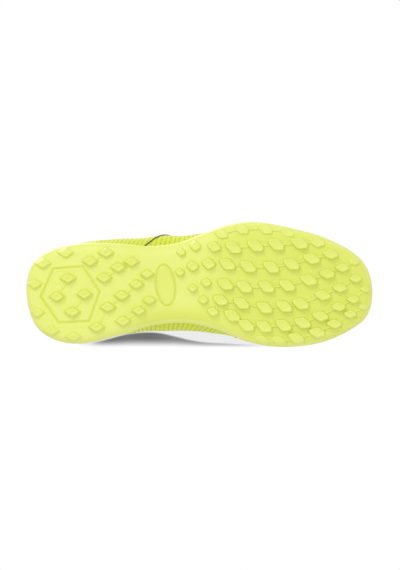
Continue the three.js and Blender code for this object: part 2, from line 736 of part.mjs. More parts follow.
function place(name, solid, material) {
  const m = solid.getMesh();
  const g = new THREE.BufferGeometry();
  g.setAttribute('position', new THREE.BufferAttribute(new Float32Array(m.vertProperties), 3));
  g.setIndex(new THREE.BufferAttribute(new Uint32Array(m.triVerts), 1));
  g.computeVertexNormals();
  const mesh = new THREE.Mesh(g, material);
  mesh.name = name;
  shoe.add(mesh);
}

place('outsole', outsole(), RUBBER);
place('midsole', midsole, FOAM);
place('lasting_board', lastingBoard, BOARD_FIBRE);
place('sockliner', sockliner, LINING_CLOTH);
place('vamp', vamp, MESH_CLOTH);
place('vamp_lining', vampLining, LINING_CLOTH);
place('toe_puff', toePuff, BOARD_FIBRE);
place('quarter_lateral', quarter(0), MESH_CLOTH);
place('quarter_medial', quarter(1), MESH_CLOTH);
place('quarter_lining_lateral', quarterLining(0), LINING_CLOTH);
place('quarter_lining_medial', quarterLining(1), LINING_CLOTH);
place('heel_lining', heelLining, LINING_CLOTH);
place('heel_counter', heelCounter, BOARD_FIBRE);
place('collar_foam', collarPad, FOAM);
place('heel_overlay', heelOverlay, TRIM);
place('eyestay_lateral', eyestay(0), TRIM);
place('eyestay_medial', eyestay(1), TRIM);
place('tongue', tongue, MESH_CLOTH);
place('tongue_loop', tongueLoop(), TRIM);
place('lace', lace, LACE_CLOTH);
place('aglet_lower', aglet(0), TRIM);
place('aglet_upper', aglet(1), TRIM);
place('pull_loop', pullLoop(), TRIM);

export default shoe;
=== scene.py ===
# %% [markdown]
# # A turf shoe, piece by piece
# A turf shoe is a low soccer shoe for artificial grass. Its sole is one moulded
# rubber cup with many small lugs instead of a few long studs. This notebook dresses
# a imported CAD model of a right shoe: the CAD says where every piece sits, and each
# cell below makes one visible piece or one finish.
# The frame is in metres: +X to the toe, +Y to the inner side of the foot, +Z up.

# %% Load the frame
import math

import bmesh
import bpy
import numpy as np
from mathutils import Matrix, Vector


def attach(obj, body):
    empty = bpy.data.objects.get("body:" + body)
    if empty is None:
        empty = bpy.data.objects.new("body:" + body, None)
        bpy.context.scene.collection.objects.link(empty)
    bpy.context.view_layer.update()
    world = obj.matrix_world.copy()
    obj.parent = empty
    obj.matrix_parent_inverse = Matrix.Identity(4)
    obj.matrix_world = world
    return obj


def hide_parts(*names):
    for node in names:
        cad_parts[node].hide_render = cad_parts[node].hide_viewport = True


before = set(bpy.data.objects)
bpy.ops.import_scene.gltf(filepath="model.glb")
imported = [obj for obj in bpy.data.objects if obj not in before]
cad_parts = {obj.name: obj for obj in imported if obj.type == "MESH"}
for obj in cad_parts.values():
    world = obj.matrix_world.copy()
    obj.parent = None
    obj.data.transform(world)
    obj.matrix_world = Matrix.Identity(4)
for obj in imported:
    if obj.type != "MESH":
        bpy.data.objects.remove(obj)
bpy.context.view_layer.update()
MM = 0.001

# %% [markdown]
# ## Driving dimensions
# The whole shoe follows from a few lists in millimetres: the plan outline of the
# rubber, heights along the length, and the shape of the ribs that carry the upper.
# They are the same as in the CAD model, so every piece drops into its place.

# %% Outline and heights
LATERAL_EDGE = [
    (142.1, 6), (138, -12.7), (127.5, -25.2), (103.6, -38.1), (78, -45.6), (45, -51.3),
    (22, -48.6), (3, -41.8), (-16, -34.6), (-40, -31.6), (-66, -33.6), (-93, -34),
    (-114, -31), (-128, -25), (-137.4, -16), (-142.1, 5.3),
]
MEDIAL_EDGE = [
    (142.1, 6), (138, 25), (126, 36), (98.7, 47.9), (64, 51.2), (38, 46.6),
    (17, 38), (-10, 31.7), (-38, 33.6), (-64, 41.2), (-98, 48.6),
    (-120, 44.8), (-134.5, 33.4), (-142.1, 5.3),
]
SOLE_UNDERSIDE = [
    (-142, 8.2), (-120, 6.1), (-95, 5.4), (-62, 5.4), (-30, 8.0), (5, 5.8),
    (20, 5.4), (62, 5.4), (90, 6.8), (115, 9.6), (130, 12.2), (142, 14.8),
]
FEATHER_HEIGHT = [
    (-142, 21), (-100, 19.4), (-50, 18.2), (0, 16), (40, 14.6), (80, 15.2), (110, 18.4), (142, 24),
]
RIM_HEIGHT = [
    (-142, 31), (-120, 28), (-85, 24.6), (-35, 22.4), (0, 20.6), (40, 21.4),
    (80, 22.6), (110, 26.2), (130, 31), (142, 34.5),
]
# k runs from 0 at the toe to 1 at the heel: (k, rubber wall, insole inset)
WALL = [
    (0, 3.8, 5.6), (0.15, 3.8, 4.9), (0.38, 3.8, 4.2), (0.5, 5.2, 4.6),
    (0.6, 6.8, 5.2), (0.7, 5.8, 5.4), (0.8, 4, 6.2), (1, 3.8, 6.4),
]
# (k, x, half gap from the centre line, height)
TOP_LINE = [
    (0, 112, 0, 47.5), (0.1, 104, 0, 49.5), (0.2, 84, 0, 54), (0.3, 58, 0, 60.5), (0.38, 37, 0, 66),
    (0.43, 23, 9, 70), (0.5, 2, 14, 77.5), (0.6, -28, 18.5, 88), (0.64, -40, 21.5, 91),
    (0.68, -53, 27, 86), (0.76, -80, 32.5, 70), (0.82, -100, 33, 66), (0.9, -120.5, 25.5, 72),
    (0.96, -129.5, 13, 81), (1, -132, 0, 84.5),
]
# (k, outward handle lateral, outward handle medial, upward handle, length of the top handle)
RIB = [
    (0, 4, 4, 16, 16), (0.15, 5, 5, 18, 22), (0.3, 7, 7, 20, 26), (0.4, 9, 11, 22, 26),
    (0.47, 13, 16, 26, 26), (0.54, 25, 20, 30, 26), (0.6, 33, 20.5, 32, 26),
    (0.68, 24, 12, 30, 24), (0.76, 16, 4, 26, 20), (0.84, 7.5, 5, 24, 18), (1, 5, 5, 26, 18),
]
# (k, slope of the top handle below the horizontal in degrees, lateral and medial)
SHOULDER = [
    (0, 0, 0), (0.38, 0, 0), (0.43, 14, 16), (0.5, 30, 40), (0.6, 44, 60),
    (0.68, 64, 80), (0.76, 80, 84), (1, 82, 82),
]
CENTRE_Y = 7.0
GAP, FLOOR, LUG_HEIGHT = 0.3, 3.0, 5.4
SKIN, LINING, PUFF, COUNTER, COLLAR_PAD, EYESTAY = 1.8, 0.9, 1.0, 1.6, 5.3, 1.2
BOARD, SOCKLINER = 1.6, 4.0


# %% Curves through the dimensions
def unit(v, least=1e-9):
    """Vectors of length one along the last axis."""
    return v / np.maximum(np.linalg.norm(v, axis=-1, keepdims=True), least)


def run(line):
    """Distance along a line of points, starting at 0."""
    return np.concatenate([[0], np.cumsum(np.linalg.norm(np.diff(line, axis=0), axis=1))])


def smooth(v, a, b):
    t = np.clip((np.asarray(v, float) - a) / (b - a), 0, 1)
    return t * t * (3 - 2 * t)


def track(rows, column=1, free_ends=False):
    """A smooth curve through the rows' values, as a function."""
    x = np.array([r[0] for r in rows], float)
    y = np.array([r[column] for r in rows], float)
    chord = np.diff(y) / np.diff(x)
    step = np.diff(x)
    slope = np.zeros(len(x))
    slope[1:-1] = (chord[:-1] * step[1:] + chord[1:] * step[:-1]) / (step[:-1] + step[1:])
    if free_ends:
        slope[0], slope[-1] = chord[0], chord[-1]

    def value(v):
        v = np.asarray(v, float)
        i = np.clip(np.searchsorted(x, v, side="left") - 1, 0, len(x) - 2)
        h = x[i + 1] - x[i]
        t = np.clip((v - x[i]) / h, 0, 1)
        t2, t3 = t * t, t ** 3
        return ((2 * t3 - 3 * t2 + 1) * y[i] + (t3 - 2 * t2 + t) * h * slope[i]
                + (3 * t2 - 2 * t3) * y[i + 1] + (t3 - t2) * h * slope[i + 1])
    return value


underside = track(SOLE_UNDERSIDE, 1, True)
feather_height = track(FEATHER_HEIGHT, 1, True)
rim_height = track(RIM_HEIGHT, 1, True)
wall_at, insole_inset = track(WALL, 1), track(WALL, 2)
top_x, top_z = track(TOP_LINE, 1), track(TOP_LINE, 3)
gap_track = track([r for r in TOP_LINE if r[0] >= 0.38], 2, True)
out_lateral, out_medial = track(RIB, 1), track(RIB, 2)
up_handle, top_handle = track(RIB, 3), track(RIB, 4)
shoulder_lateral, shoulder_medial = track(SHOULDER, 1), track(SHOULDER, 2)
print("heel underside", float(underside(-130)), "rim at the toe", float(rim_height(140)))


# %% The outline as one loop
def centripetal_loop(points, steps):
    """A closed centripetal Catmull-Rom curve, the same as the CAD outline."""
    p = np.array(points, float)
    n = len(p)
    out = []
    for s in np.arange(steps + 1) / steps * n:
        i = int(math.floor(s)) % n
        t = s - math.floor(s)
        a, b, c, d = (p[(i + o) % n] for o in (-1, 0, 1, 2))
        g0, g1, g2 = (np.sum((v - u) ** 2) ** 0.25 for u, v in ((a, b), (b, c), (c, d)))
        m1 = ((b - a) / g0 - (c - a) / (g0 + g1) + (c - b) / g1) * g1
        m2 = ((c - b) / g1 - (d - b) / (g1 + g2) + (d - c) / g2) * g1
        out.append(b + m1 * t + (-3 * b + 3 * c - 2 * m1 - m2) * t ** 2
                   + (2 * b - 2 * c + m1 + m2) * t ** 3)
    return np.array(out)


LOOP_STEPS = 1400
loop_points = LATERAL_EDGE + MEDIAL_EDGE[1:-1][::-1]
loop_table = centripetal_loop(loop_points, LOOP_STEPS)
loop_reach = run(loop_table)
heel_reach = loop_reach[round((len(LATERAL_EDGE) - 1) / len(loop_points) * LOOP_STEPS)]
full_reach = loop_reach[-1]
print("outline length in mm", round(float(full_reach), 1))


def edge(q):
    """Outline point at q: 0 is the toe, 1 the heel, 2 the toe again."""
    w = np.mod(np.asarray(q, float), 2)
    s = np.where(w <= 1, w * heel_reach, heel_reach + (w - 1) * (full_reach - heel_reach))
    return np.stack([np.interp(s, loop_reach, loop_table[:, i]) for i in (0, 1)], -1)


SIDE_STEP = 0.006  # step in q over which directions are measured


def outward(q):
    t = unit(edge(np.asarray(q) + SIDE_STEP) - edge(np.asarray(q) - SIDE_STEP))
    return np.stack([-t[..., 1], t[..., 0]], -1)


def along_side(q):
    w = np.mod(np.asarray(q, float), 2)
    return np.where(w <= 1, w, 2 - w)


def is_medial(q):
    return np.mod(np.asarray(q, float), 2) > 1


def inset(q, distance, height):
    """Outline moved inwards; height is a number, an array or a function of x."""
    p = edge(q) - outward(q) * np.asarray(distance, float)[..., None]
    z = height(p[..., 0]) if callable(height) else np.broadcast_to(height, p.shape[:-1])
    return np.concatenate([p, np.asarray(z, float)[..., None]], -1)


# %% [markdown]
# ## The surface of the upper
# The last, the foot-shaped block a shoe is made on, gives the upper its form. Here
# each rib is a cubic Bezier from the sole to the ridge, the throat or the collar,
# and q says which rib, t how far up. Every cloth piece is a patch of this surface.

# %% Ribs and skin
def ridge_slope(k):
    a = np.maximum(0.03, k)
    return (top_z(a - 0.02) - top_z(a + 0.02)) / (top_x(a - 0.02) - top_x(a + 0.02))


def top_point(q):
    k = along_side(q)
    gap = np.where(k <= 0.38, 0, gap_track(k))
    side = np.where(is_medial(q), 1, -1)
    return np.stack([top_x(k), CENTRE_Y + side * gap, top_z(k)], -1)


def rib(q, t):
    q, t = np.broadcast_arrays(np.asarray(q, float), np.asarray(t, float))
    k, m, n = along_side(q), is_medial(q), outward(q)
    p0 = inset(q, wall_at(k), feather_height)
    p3 = top_point(q)
    out = np.where(m, out_medial(k), out_lateral(k))
    p1 = p0 + np.concatenate([n * out[..., None], up_handle(k)[..., None]], -1)
    angle = np.radians(np.where(m, shoulder_medial(k), shoulder_lateral(k)))
    flat, on_ridge = np.cos(angle), 1 - smooth(k, 0.36, 0.44)
    down = np.sin(angle) - ridge_slope(k) * n[..., 0] * on_ridge * flat
    d = unit(np.stack([n[..., 0] * flat, n[..., 1] * flat, -down], -1))
    p2 = p3 + d * top_handle(k)[..., None]
    s, u = (1 - t)[..., None], t[..., None]
    return p0 * s ** 3 + p1 * 3 * s * s * u + p2 * 3 * s * u * u + p3 * u ** 3


def skin_normal(q, t):
    q, t = np.broadcast_arrays(np.asarray(q, float), np.asarray(t, float))
    du = rib(q + SIDE_STEP, t) - rib(q - SIDE_STEP, t)
    dv = rib(q, np.minimum(1, t + 0.01)) - rib(q, np.maximum(0, t - 0.01))
    m = ridge_slope(along_side(q))
    crest = unit(np.stack([-m, np.zeros_like(m), np.ones_like(m)], -1))
    on_crest = ((t > 0.995) & (along_side(q) <= 0.381))[..., None]
    return np.where(on_crest, crest, unit(-np.cross(du, dv)))


def skin(q, t, d=0.0):
    return rib(q, t) + skin_normal(q, t) * np.asarray(d, float)[..., None]


# %% [markdown]
# ## Making meshes from grids
# Blender's `from_pydata` takes points and faces. All pieces below are grids of points,
# so one helper joins grids, adds a flat cloth coordinate in millimetres as the UV map,
# and shades the result smooth.

# %% Mesh helpers
def cord_faces(rows, sides, closed=False):
    """Faces round a cord whose rings of points follow each other."""
    i, j = np.arange(rows if closed else rows - 1)[:, None], np.arange(sides)[None, :]
    after, beside = (i + 1) % rows * sides, (j + 1) % sides
    return np.stack([i * sides + j, i * sides + beside, after + beside, after + j], -1).reshape(-1, 4)


def grid_faces(rows, cols, start=0, flip=False, wrap=False):
    i, j = np.meshgrid(np.arange(rows if wrap else rows - 1), np.arange(cols - 1), indexing="ij")
    a = i * cols + j
    b = ((i + 1) % rows) * cols + j
    f = np.stack([a, b, b + 1, a + 1], -1).reshape(-1, 4) + start
    return f[:, ::-1] if flip else f


def new_object(name, points, faces, uv=None, body="shoe", slot=None, finish=None):
    """A smooth-shaded mesh object from millimetre points; it rides on its body."""
    mesh = bpy.data.meshes.new(name)
    points = np.asarray(points, float).reshape(-1, 3) * MM
    if isinstance(faces, np.ndarray):
        faces = faces.tolist()
    mesh.from_pydata(points.tolist(), [], faces)
    if uv is not None:
        layer = mesh.uv_layers.new(name="cloth_mm")
        corner = np.zeros(len(mesh.loops), np.int32)
        mesh.loops.foreach_get("vertex_index", corner)
        layer.data.foreach_set("uv", np.asarray(uv, np.float32).reshape(-1, 2)[corner].ravel())
    mesh.polygons.foreach_set("use_smooth", [True] * len(mesh.polygons))
    mesh.update()
    obj = bpy.data.objects.new(name, mesh)
    bpy.context.scene.collection.objects.link(obj)
    if body:
        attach(obj, body)
    if finish:
        obj.data.materials.append(finish)
    return obj


def arc_uv(grid):
    """Lengths along the rows and the columns of a grid, in mm, for a weave to follow."""
    across = np.linalg.norm(np.diff(grid, axis=1), axis=-1)
    v = np.concatenate([np.zeros((len(grid), 1)), np.cumsum(across, 1)], 1)
    u = run(grid[:, grid.shape[1] // 3])
    return np.stack([np.broadcast_to(u[:, None], v.shape), v], -1)


def places(q0, q1, nq, nt, low, high):
    """A grid of q, of shares s and of heights t between two limits, numbers or functions of k."""
    q = np.linspace(q0, q1, nq)[:, None]
    s = np.linspace(0, 1, nt)[None, :]
    lo, hi = (f(along_side(q)) if callable(f) else f for f in (low, high))
    return q + 0 * s, s, lo + (hi - lo) * s + 0 * q


def patch(name, q0, q1, nq, nt, outer, inner, low=0.0, high=1.0, open_top=False, uv=None, **kw):
    """A thin closed shell on the skin between two ribs; outer and inner are offsets in mm."""
    q, _, t = places(q0, q1, nq, nt, low, high)
    top, under = (skin(q, t, f(along_side(q), t) if callable(f) else np.full(t.shape, float(f)))
                  for f in (outer, inner))
    cloth = arc_uv(top) if uv is None else uv(top)
    return shell(name, top, under, cloth, open_top, **kw)


def shell(name, top, under, cloth, open_top=False, **kw):
    """Joins an outer and an inner grid with rims into one closed skin."""
    nq, nt = top.shape[:2]
    n = nq * nt
    idx = np.arange(n).reshape(nq, nt)
    faces = [grid_faces(nq, nt), grid_faces(nq, nt, n, flip=True)]

    def rim(line):
        a, b = line[:-1], line[1:]
        faces.append(np.stack([b, a, a + n, b + n], -1))
    rim(idx[:, 0])
    if not open_top:
        rim(idx[::-1, -1])
    rim(idx[0, ::-1])
    rim(idx[-1, :])
    points = np.concatenate([top.reshape(-1, 3), under.reshape(-1, 3)])
    obj = new_object(name, points, np.concatenate(faces), np.concatenate([cloth.reshape(-1, 2)] * 2), **kw)
    mod = obj.modifiers.new("crisp rims", "EDGE_SPLIT")
    mod.split_angle = math.radians(50)
    return obj


def tube(name, path, radius, sides=12, closed=False, flat=1.0, up=(0, 0, 1), **kw):
    """A round or flattened cord along a path; flat is thickness over width."""
    path = np.asarray(path, float)
    n = len(path)
    tangent = np.gradient(path, axis=0)
    if closed:
        tangent = np.roll(path, -1, 0) - np.roll(path, 1, 0)
    tangent = unit(tangent)
    side = unit(np.cross(tangent, np.broadcast_to(np.asarray(up, float), path.shape)), 1e-6)
    lift = np.cross(side, tangent)
    a = np.linspace(0, 2 * np.pi, sides, endpoint=False)
    r = np.broadcast_to(np.asarray(radius, float), (n,))[:, None, None]
    ring = (side[:, None] * np.cos(a)[None, :, None] + lift[:, None] * np.sin(a)[None, :, None] * flat) * r
    points = (path[:, None] + ring).reshape(-1, 3)
    faces = cord_faces(n, sides, closed).tolist()
    if not closed:
        faces += [list(range(sides))[::-1], [(n - 1) * sides + s for s in range(sides)]]
    cloth = np.stack(np.broadcast_arrays(run(path)[:, None], a[None, :]), -1)
    return new_object(name, points, faces, cloth, **kw)


def resample(points, count):
    """Even points on a smooth curve through the given ones."""
    p = np.asarray(points, float)
    t = np.concatenate([[0], np.cumsum(np.linalg.norm(np.diff(p, axis=0), axis=1) ** 0.5)])
    axes = [track(list(zip(t, p[:, i])), 1, True) for i in range(3)]
    fine = np.stack([f(np.linspace(0, t[-1], count * 8)) for f in axes], -1)
    s = run(fine)
    even = np.linspace(0, s[-1], count)
    return np.stack([np.interp(even, s, fine[:, i]) for i in range(3)], -1)


# %% [markdown]
# ## Materials
# Each finish starts from what the real piece is made of. Colours are written as sRGB
# hex, as a colour picker shows them, and one function turns them to linear light.

# %% Colour and node helpers
def srgb(hex_colour):
    c = np.array([int(hex_colour[i:i + 2], 16) / 255 for i in (1, 3, 5)])
    linear = np.where(c <= 0.04045, c / 12.92, ((c + 0.055) / 1.055) ** 2.4)
    return (*linear.tolist(), 1.0)


def add(tree, kind, inputs=None, **settings):
    """Adds a shader node with its settings; inputs are numbers, colours, sockets or nodes."""
    node = tree.nodes.new("ShaderNode" + kind)
    for key, value in settings.items():
        setattr(node, key, value)
    usable = [s for s in node.inputs if s.enabled]
    for key, value in (inputs or {}).items():
        socket = usable[key] if isinstance(key, int) else next(s for s in usable if s.name == key)
        if isinstance(value, bpy.types.Node):
            value = next(s for s in value.outputs if s.enabled)
        if isinstance(value, bpy.types.NodeSocket):
            tree.links.new(value, socket)
        else:
            socket.default_value = value
    return node


def material(name, **principled):
    """A new material with numbers set on its Principled shader; gives it, its tree and shader."""
    mat = bpy.data.materials.new(name)
    mat.use_nodes = True
    shader = mat.node_tree.nodes["Principled BSDF"]
    for key, value in principled.items():
        shader.inputs[key.replace("_", " ")].default_value = value
    return mat, mat.node_tree, shader


def wire(tree, shader, **sources):
    """Links nodes to the shader's sockets by name."""
    for key, node in sources.items():
        out = next(s for s in node.outputs if s.enabled)
        tree.links.new(out, shader.inputs[key.replace("_", " ")])


# %% [markdown]
# ### Moulded rubber
# The sole is compression-moulded natural rubber, pale lime all through. A clean mould
# leaves a satin skin: a soft wide highlight, a faint unevenness a few millimetres wide
# and a very fine grain. The flanks and dishes of the lugs, the grooves, the crowded
# ball, the inner arch and the inside of the cup are painted a deeper yellow-green as
# painted shade; a point attribute says how much, and the geometry cell writes it.

# %% Rubber finish
rubber, tree, shader = material("moulded_natural_rubber", IOR=1.52)
coords = add(tree, "TexCoord").outputs["Object"]
GRAIN_PER_M = 1 / 0.0016  # mould grain, drawn coarser than the real 0.2 mm so that it shows
CLOUD_PER_M = 1 / 0.022   # faint clouding about 22 mm wide
grain = add(tree, "TexNoise", {"Vector": coords, "Scale": GRAIN_PER_M, "Detail": 3.0})
cloud = add(tree, "TexNoise", {"Vector": coords, "Scale": CLOUD_PER_M, "Detail": 2.0})
cloudy = add(tree, "MapRange", {0: cloud, 1: 0.3, 2: 0.7})
tone = add(tree, "Mix", {"Factor": cloudy, "A": srgb("#E5EC78"), "B": srgb("#E8EE7E")}, data_type="RGBA")
painted_shade = add(tree, "Attribute", attribute_name="painted_shade")
# Painted shade: the colour turns to a deeper yellow-green as the attribute rises.
painted_shade_tone = add(tree, "Mix", {"Factor": painted_shade.outputs["Fac"], "A": tone.outputs[2], "B": srgb("#D8E24C")},
           data_type="RGBA")
matt = add(tree, "MapRange", {0: grain, 3: 0.4, 4: 0.56})
relief = add(tree, "Bump", {"Strength": 0.1, "Distance": 0.0002, "Height": grain})
wire(tree, shader, Base_Color=painted_shade_tone, Roughness=matt, Normal=relief)
print("material", rubber.name)

# %% [markdown]
# ### Knitted mesh
# The upper is a double-layer warp knit in bright lime. The knit leaves rows of small
# eyelets through which a dark olive ground shows as flecks. The pattern is drawn from
# the cloth coordinate in mm: eyelets 3.5 mm apart along the row, rows 2.3 mm apart,
# each row shifted against the last. A real knit has rows 1.7 mm apart; they are drawn
# a little coarser so that the flecks show one by one.

# %% Knit finish
EYELET_PITCH, ROW_PITCH = 3.5, 2.3
EYELET_WIDE, EYELET_HIGH = 1.4, 0.95


def knit(name, yarn, shade, ground, hole_size=1.0, sheen=0.2, roughness=0.82):
    mat, tree, shader = material(name, Roughness=roughness, IOR=1.5, Sheen_Weight=sheen, Sheen_Roughness=0.4)
    cloth = add(tree, "UVMap", uv_map="cloth_mm")
    wobble = add(tree, "TexNoise", {"Vector": cloth, "Scale": 0.5, "Detail": 1.0})
    split = add(tree, "SeparateXYZ", {0: cloth})
    along = add(tree, "Math", {0: wobble, 1: 1.4, 2: split.outputs[0]}, operation="MULTIPLY_ADD")
    row = add(tree, "Math", {0: split.outputs[1], 1: ROW_PITCH}, operation="DIVIDE")
    number = add(tree, "Math", {0: row}, operation="FLOOR")
    shift = add(tree, "Math", {0: number, 1: 0.12 * EYELET_PITCH, 2: along}, operation="MULTIPLY_ADD")
    column = add(tree, "Math", {0: shift, 1: EYELET_PITCH}, operation="DIVIDE")
    across = add(tree, "Math", {0: column}, operation="FRACT")
    down = add(tree, "Math", {0: row}, operation="FRACT")
    off = add(tree, "CombineXYZ", {0: across, 1: down})
    centred = add(tree, "VectorMath", {0: off, 1: (0.5, 0.5, 0.0)}, operation="SUBTRACT")
    to_eyelets = (EYELET_PITCH / EYELET_WIDE, ROW_PITCH / EYELET_HIGH, 0.0)
    scaled = add(tree, "VectorMath", {0: centred, 1: to_eyelets}, operation="MULTIPLY")
    far = add(tree, "VectorMath", {0: scaled}, operation="LENGTH")
    hole = add(tree, "MapRange", {0: far.outputs["Value"], 1: 0.22 * hole_size, 2: 0.55 * hole_size,
                                  3: 1.0, 4: 0.0}, interpolation_type="SMOOTHSTEP")
    ribbing = add(tree, "Math", {0: along, 1: 2 * math.pi / (EYELET_PITCH / 3)}, operation="MULTIPLY")
    loops = add(tree, "Math", {0: ribbing}, operation="SINE")
    courses = add(tree, "Math", {0: row, 1: 2 * math.pi}, operation="MULTIPLY")
    course = add(tree, "Math", {0: courses}, operation="SINE")
    yarns = add(tree, "Math", {0: loops, 1: course}, operation="ADD")
    lit = add(tree, "MapRange", {0: yarns, 1: -1.6, 2: 1.6})
    base = add(tree, "Mix", {"Factor": lit, "A": srgb(shade), "B": srgb(yarn)}, data_type="RGBA")
    colour = add(tree, "Mix", {"Factor": hole, "A": base, "B": srgb(ground)}, data_type="RGBA")
    sunk = add(tree, "Math", {0: hole, 1: -2.2, 2: lit}, operation="MULTIPLY_ADD")
    relief = add(tree, "Bump", {"Strength": 0.5, "Distance": 0.0004, "Height": sunk})
    wire(tree, shader, Base_Color=colour, Normal=relief)
    return mat


upper_knit = knit("knitted_polyester_mesh", "#E8F132", "#CCD924", "#626A1C")
tongue_knit = knit("knitted_tongue_mesh", "#DEE93C", "#C3CF2F", "#60681E", 0.8)
lining_knit = knit("brushed_lining_knit", "#55584A", "#3C3F33", "#23251C", 0.7, 0.5, 0.92)
print("knits", upper_knit.name, tongue_knit.name, lining_knit.name)

# %% [markdown]
# ### Fused film, webbing, cord and thread
# The eyelet rows and the heel strap are thermoplastic polyurethane film pressed on
# with heat: a smooth satin face with a fine emboss. The pull loop is woven polyester
# webbing with ribs across it, the lace a flat braid, and the stitches a twisted thread.

# %% Film finish
film, tree, shader = material("fused_polyurethane_film", IOR=1.5, Coat_Weight=0.15, Coat_Roughness=0.3)
coords = add(tree, "TexCoord").outputs["Object"]
EMBOSS_PER_M = 1 / 0.0012  # leather-like emboss, cells about 1.2 mm
cells = add(tree, "TexVoronoi", {"Vector": coords, "Scale": EMBOSS_PER_M}, feature="DISTANCE_TO_EDGE")
haze = add(tree, "TexNoise", {"Vector": coords, "Scale": 1 / 0.02, "Detail": 2.0})
colour = add(tree, "Mix", {"Factor": haze, "A": srgb("#AEBC1E"), "B": srgb("#BCCA28")}, data_type="RGBA")
matt = add(tree, "MapRange", {0: cells, 1: 0.0, 2: 0.3, 3: 0.5, 4: 0.36})
relief = add(tree, "Bump", {"Strength": 0.2, "Distance": 0.0002, "Height": cells})
wire(tree, shader, Base_Color=colour, Roughness=matt, Normal=relief)
print("material", film.name)


# %% Woven finishes
def woven(name, light, dark, rib_mm, roughness=0.75, sheen=0.3):
    """Ribs across a band or cord, from the cloth coordinate's first axis in mm."""
    mat, tree, shader = material(name, Roughness=roughness, IOR=1.5, Sheen_Weight=sheen)
    cloth = add(tree, "UVMap", uv_map="cloth_mm")
    split = add(tree, "SeparateXYZ", {0: cloth})
    slant = add(tree, "Math", {0: split.outputs[1], 1: rib_mm * 0.5, 2: split.outputs[0]},
                operation="MULTIPLY_ADD")
    turn = add(tree, "Math", {0: slant, 1: 2 * math.pi / rib_mm}, operation="MULTIPLY")
    wave = add(tree, "Math", {0: turn}, operation="SINE")
    share = add(tree, "MapRange", {0: wave, 1: -1.0, 2: 1.0})
    fuzz = add(tree, "TexNoise", {"Vector": cloth, "Scale": 2.2, "Detail": 2.0})
    body = add(tree, "Mix", {"Factor": share, "A": srgb(dark), "B": srgb(light)}, data_type="RGBA")
    colour = add(tree, "Mix", {"Factor": fuzz, "A": body, "B": srgb(dark)}, data_type="RGBA")
    relief = add(tree, "Bump", {"Strength": 0.6, "Distance": 0.0003, "Height": share})
    wire(tree, shader, Base_Color=colour, Normal=relief)
    return mat


lace_braid = woven("braided_polyester_lace", "#3E4230", "#24271A", 1.1)
webbing = woven("woven_polyester_webbing", "#454935", "#2A2D1F", 1.3)
thread = woven("twisted_polyester_thread", "#6E7628", "#4A5018", 0.7)
binding = woven("bound_edge_tape", "#4A4E38", "#2E3122", 1.5)
print("woven", lace_braid.name, webbing.name, thread.name, binding.name)

# %% [markdown]
# ### What lies inside
# The midsole is ethylene-vinyl acetate foam, closed cells with a dry matt face. The
# lasting board is pressed fibre, and the stiffeners at toe and heel are resin-soaked
# felt. The insole is the same foam under a brushed cloth.

# %% Inner finishes
def cellular(name, light, dark, cell_mm, roughness, depth=0.3):
    """A foam, board or felt: cells or fibres of a given size in mm."""
    mat, tree, shader = material(name, IOR=1.48)
    coords = add(tree, "TexCoord").outputs["Object"]
    cells = add(tree, "TexVoronoi", {"Vector": coords, "Scale": 1000 / cell_mm})
    haze = add(tree, "TexNoise", {"Vector": coords, "Scale": 1000 / (cell_mm * 9), "Detail": 3.0})
    colour = add(tree, "Mix", {"Factor": haze, "A": srgb(light), "B": srgb(dark)}, data_type="RGBA")
    matt = add(tree, "MapRange", {0: cells, 3: roughness - 0.1, 4: roughness})
    relief = add(tree, "Bump", {"Strength": depth, "Distance": 0.0003, "Height": cells})
    wire(tree, shader, Base_Color=colour, Roughness=matt, Normal=relief)
    return mat


foam = cellular("closed_cell_eva_foam", "#E9E9E2", "#DADAD2", 1.2, 0.85)
board = cellular("pressed_fibre_board", "#CDBE9A", "#B8A780", 1.0, 0.9)
felt = cellular("resin_soaked_felt", "#D8D6CC", "#C5C2B6", 0.9, 0.9)
aglet_plastic = cellular("clear_cast_acetate", "#3A3D2C", "#2A2D20", 2.0, 0.35, 0.05)
insole_cloth = knit("brushed_insole_cloth", "#5A5E4A", "#43473A", "#33362B", 0.6, 0.6, 0.95)
print("inner finishes", foam.name, board.name, felt.name, insole_cloth.name)

# %% [markdown]
# ## Camera, light and floor
# The shoe is seen straight from below, toe to the right, as on a sole sheet. The floor
# is a one-sided plane: its top is pale paper, its underside lets light and sight pass,
# so the lamps under it can reach the lugs. Three large soft lamps make the studio.

# %% Camera
STAND_OFF = 4.0        # metres below the ground plane
SOLE_PLANE = 0.012     # metres above the ground, where the sole between the lugs is in scale
FIELD_HEIGHT = 0.4668  # metres of the sole plane that the tall side of the frame shows
SENSOR = 36.0          # mm
OFF_CENTRE = 0.0004    # metres
camera_data = bpy.data.cameras.new("camera")
camera_data.sensor_width = SENSOR
camera_data.lens = SENSOR * (STAND_OFF + SOLE_PLANE) / FIELD_HEIGHT
camera = bpy.data.objects.new("camera", camera_data)
camera.location = (OFF_CENTRE, OFF_CENTRE, -STAND_OFF)
camera.rotation_euler = (math.pi, 0.0, 0.0)
bpy.context.scene.collection.objects.link(camera)
bpy.context.scene.camera = camera
bpy.context.scene.view_settings.view_transform = "Standard"
print("lens", round(camera_data.lens, 1), "mm")

# %% Studio light
world = bpy.data.worlds.new("white_studio")
world.use_nodes = True
bpy.context.scene.world = world
tree = world.node_tree
background = tree.nodes["Background"]
SEEN, LIGHTING = 1.0, 0.85  # the world as the camera sees it, and as it lights the shoe
path = add(tree, "LightPath")
strength = add(tree, "Mix", {"Factor": path.outputs["Is Camera Ray"], "A": LIGHTING, "B": SEEN},
               data_type="FLOAT")
tree.links.new(strength.outputs[0], background.inputs["Strength"])
background.inputs["Color"].default_value = (1, 1, 1, 1)


def lamp(name, where, aim, size, watts):
    data = bpy.data.lights.new(name, "AREA")
    data.shape, data.size, data.energy = "DISK", size, watts
    obj = bpy.data.objects.new(name, data)
    obj.location = where
    obj.rotation_euler = (Vector(aim) - Vector(where)).to_track_quat("-Z", "Y").to_euler()
    bpy.context.scene.collection.objects.link(obj)


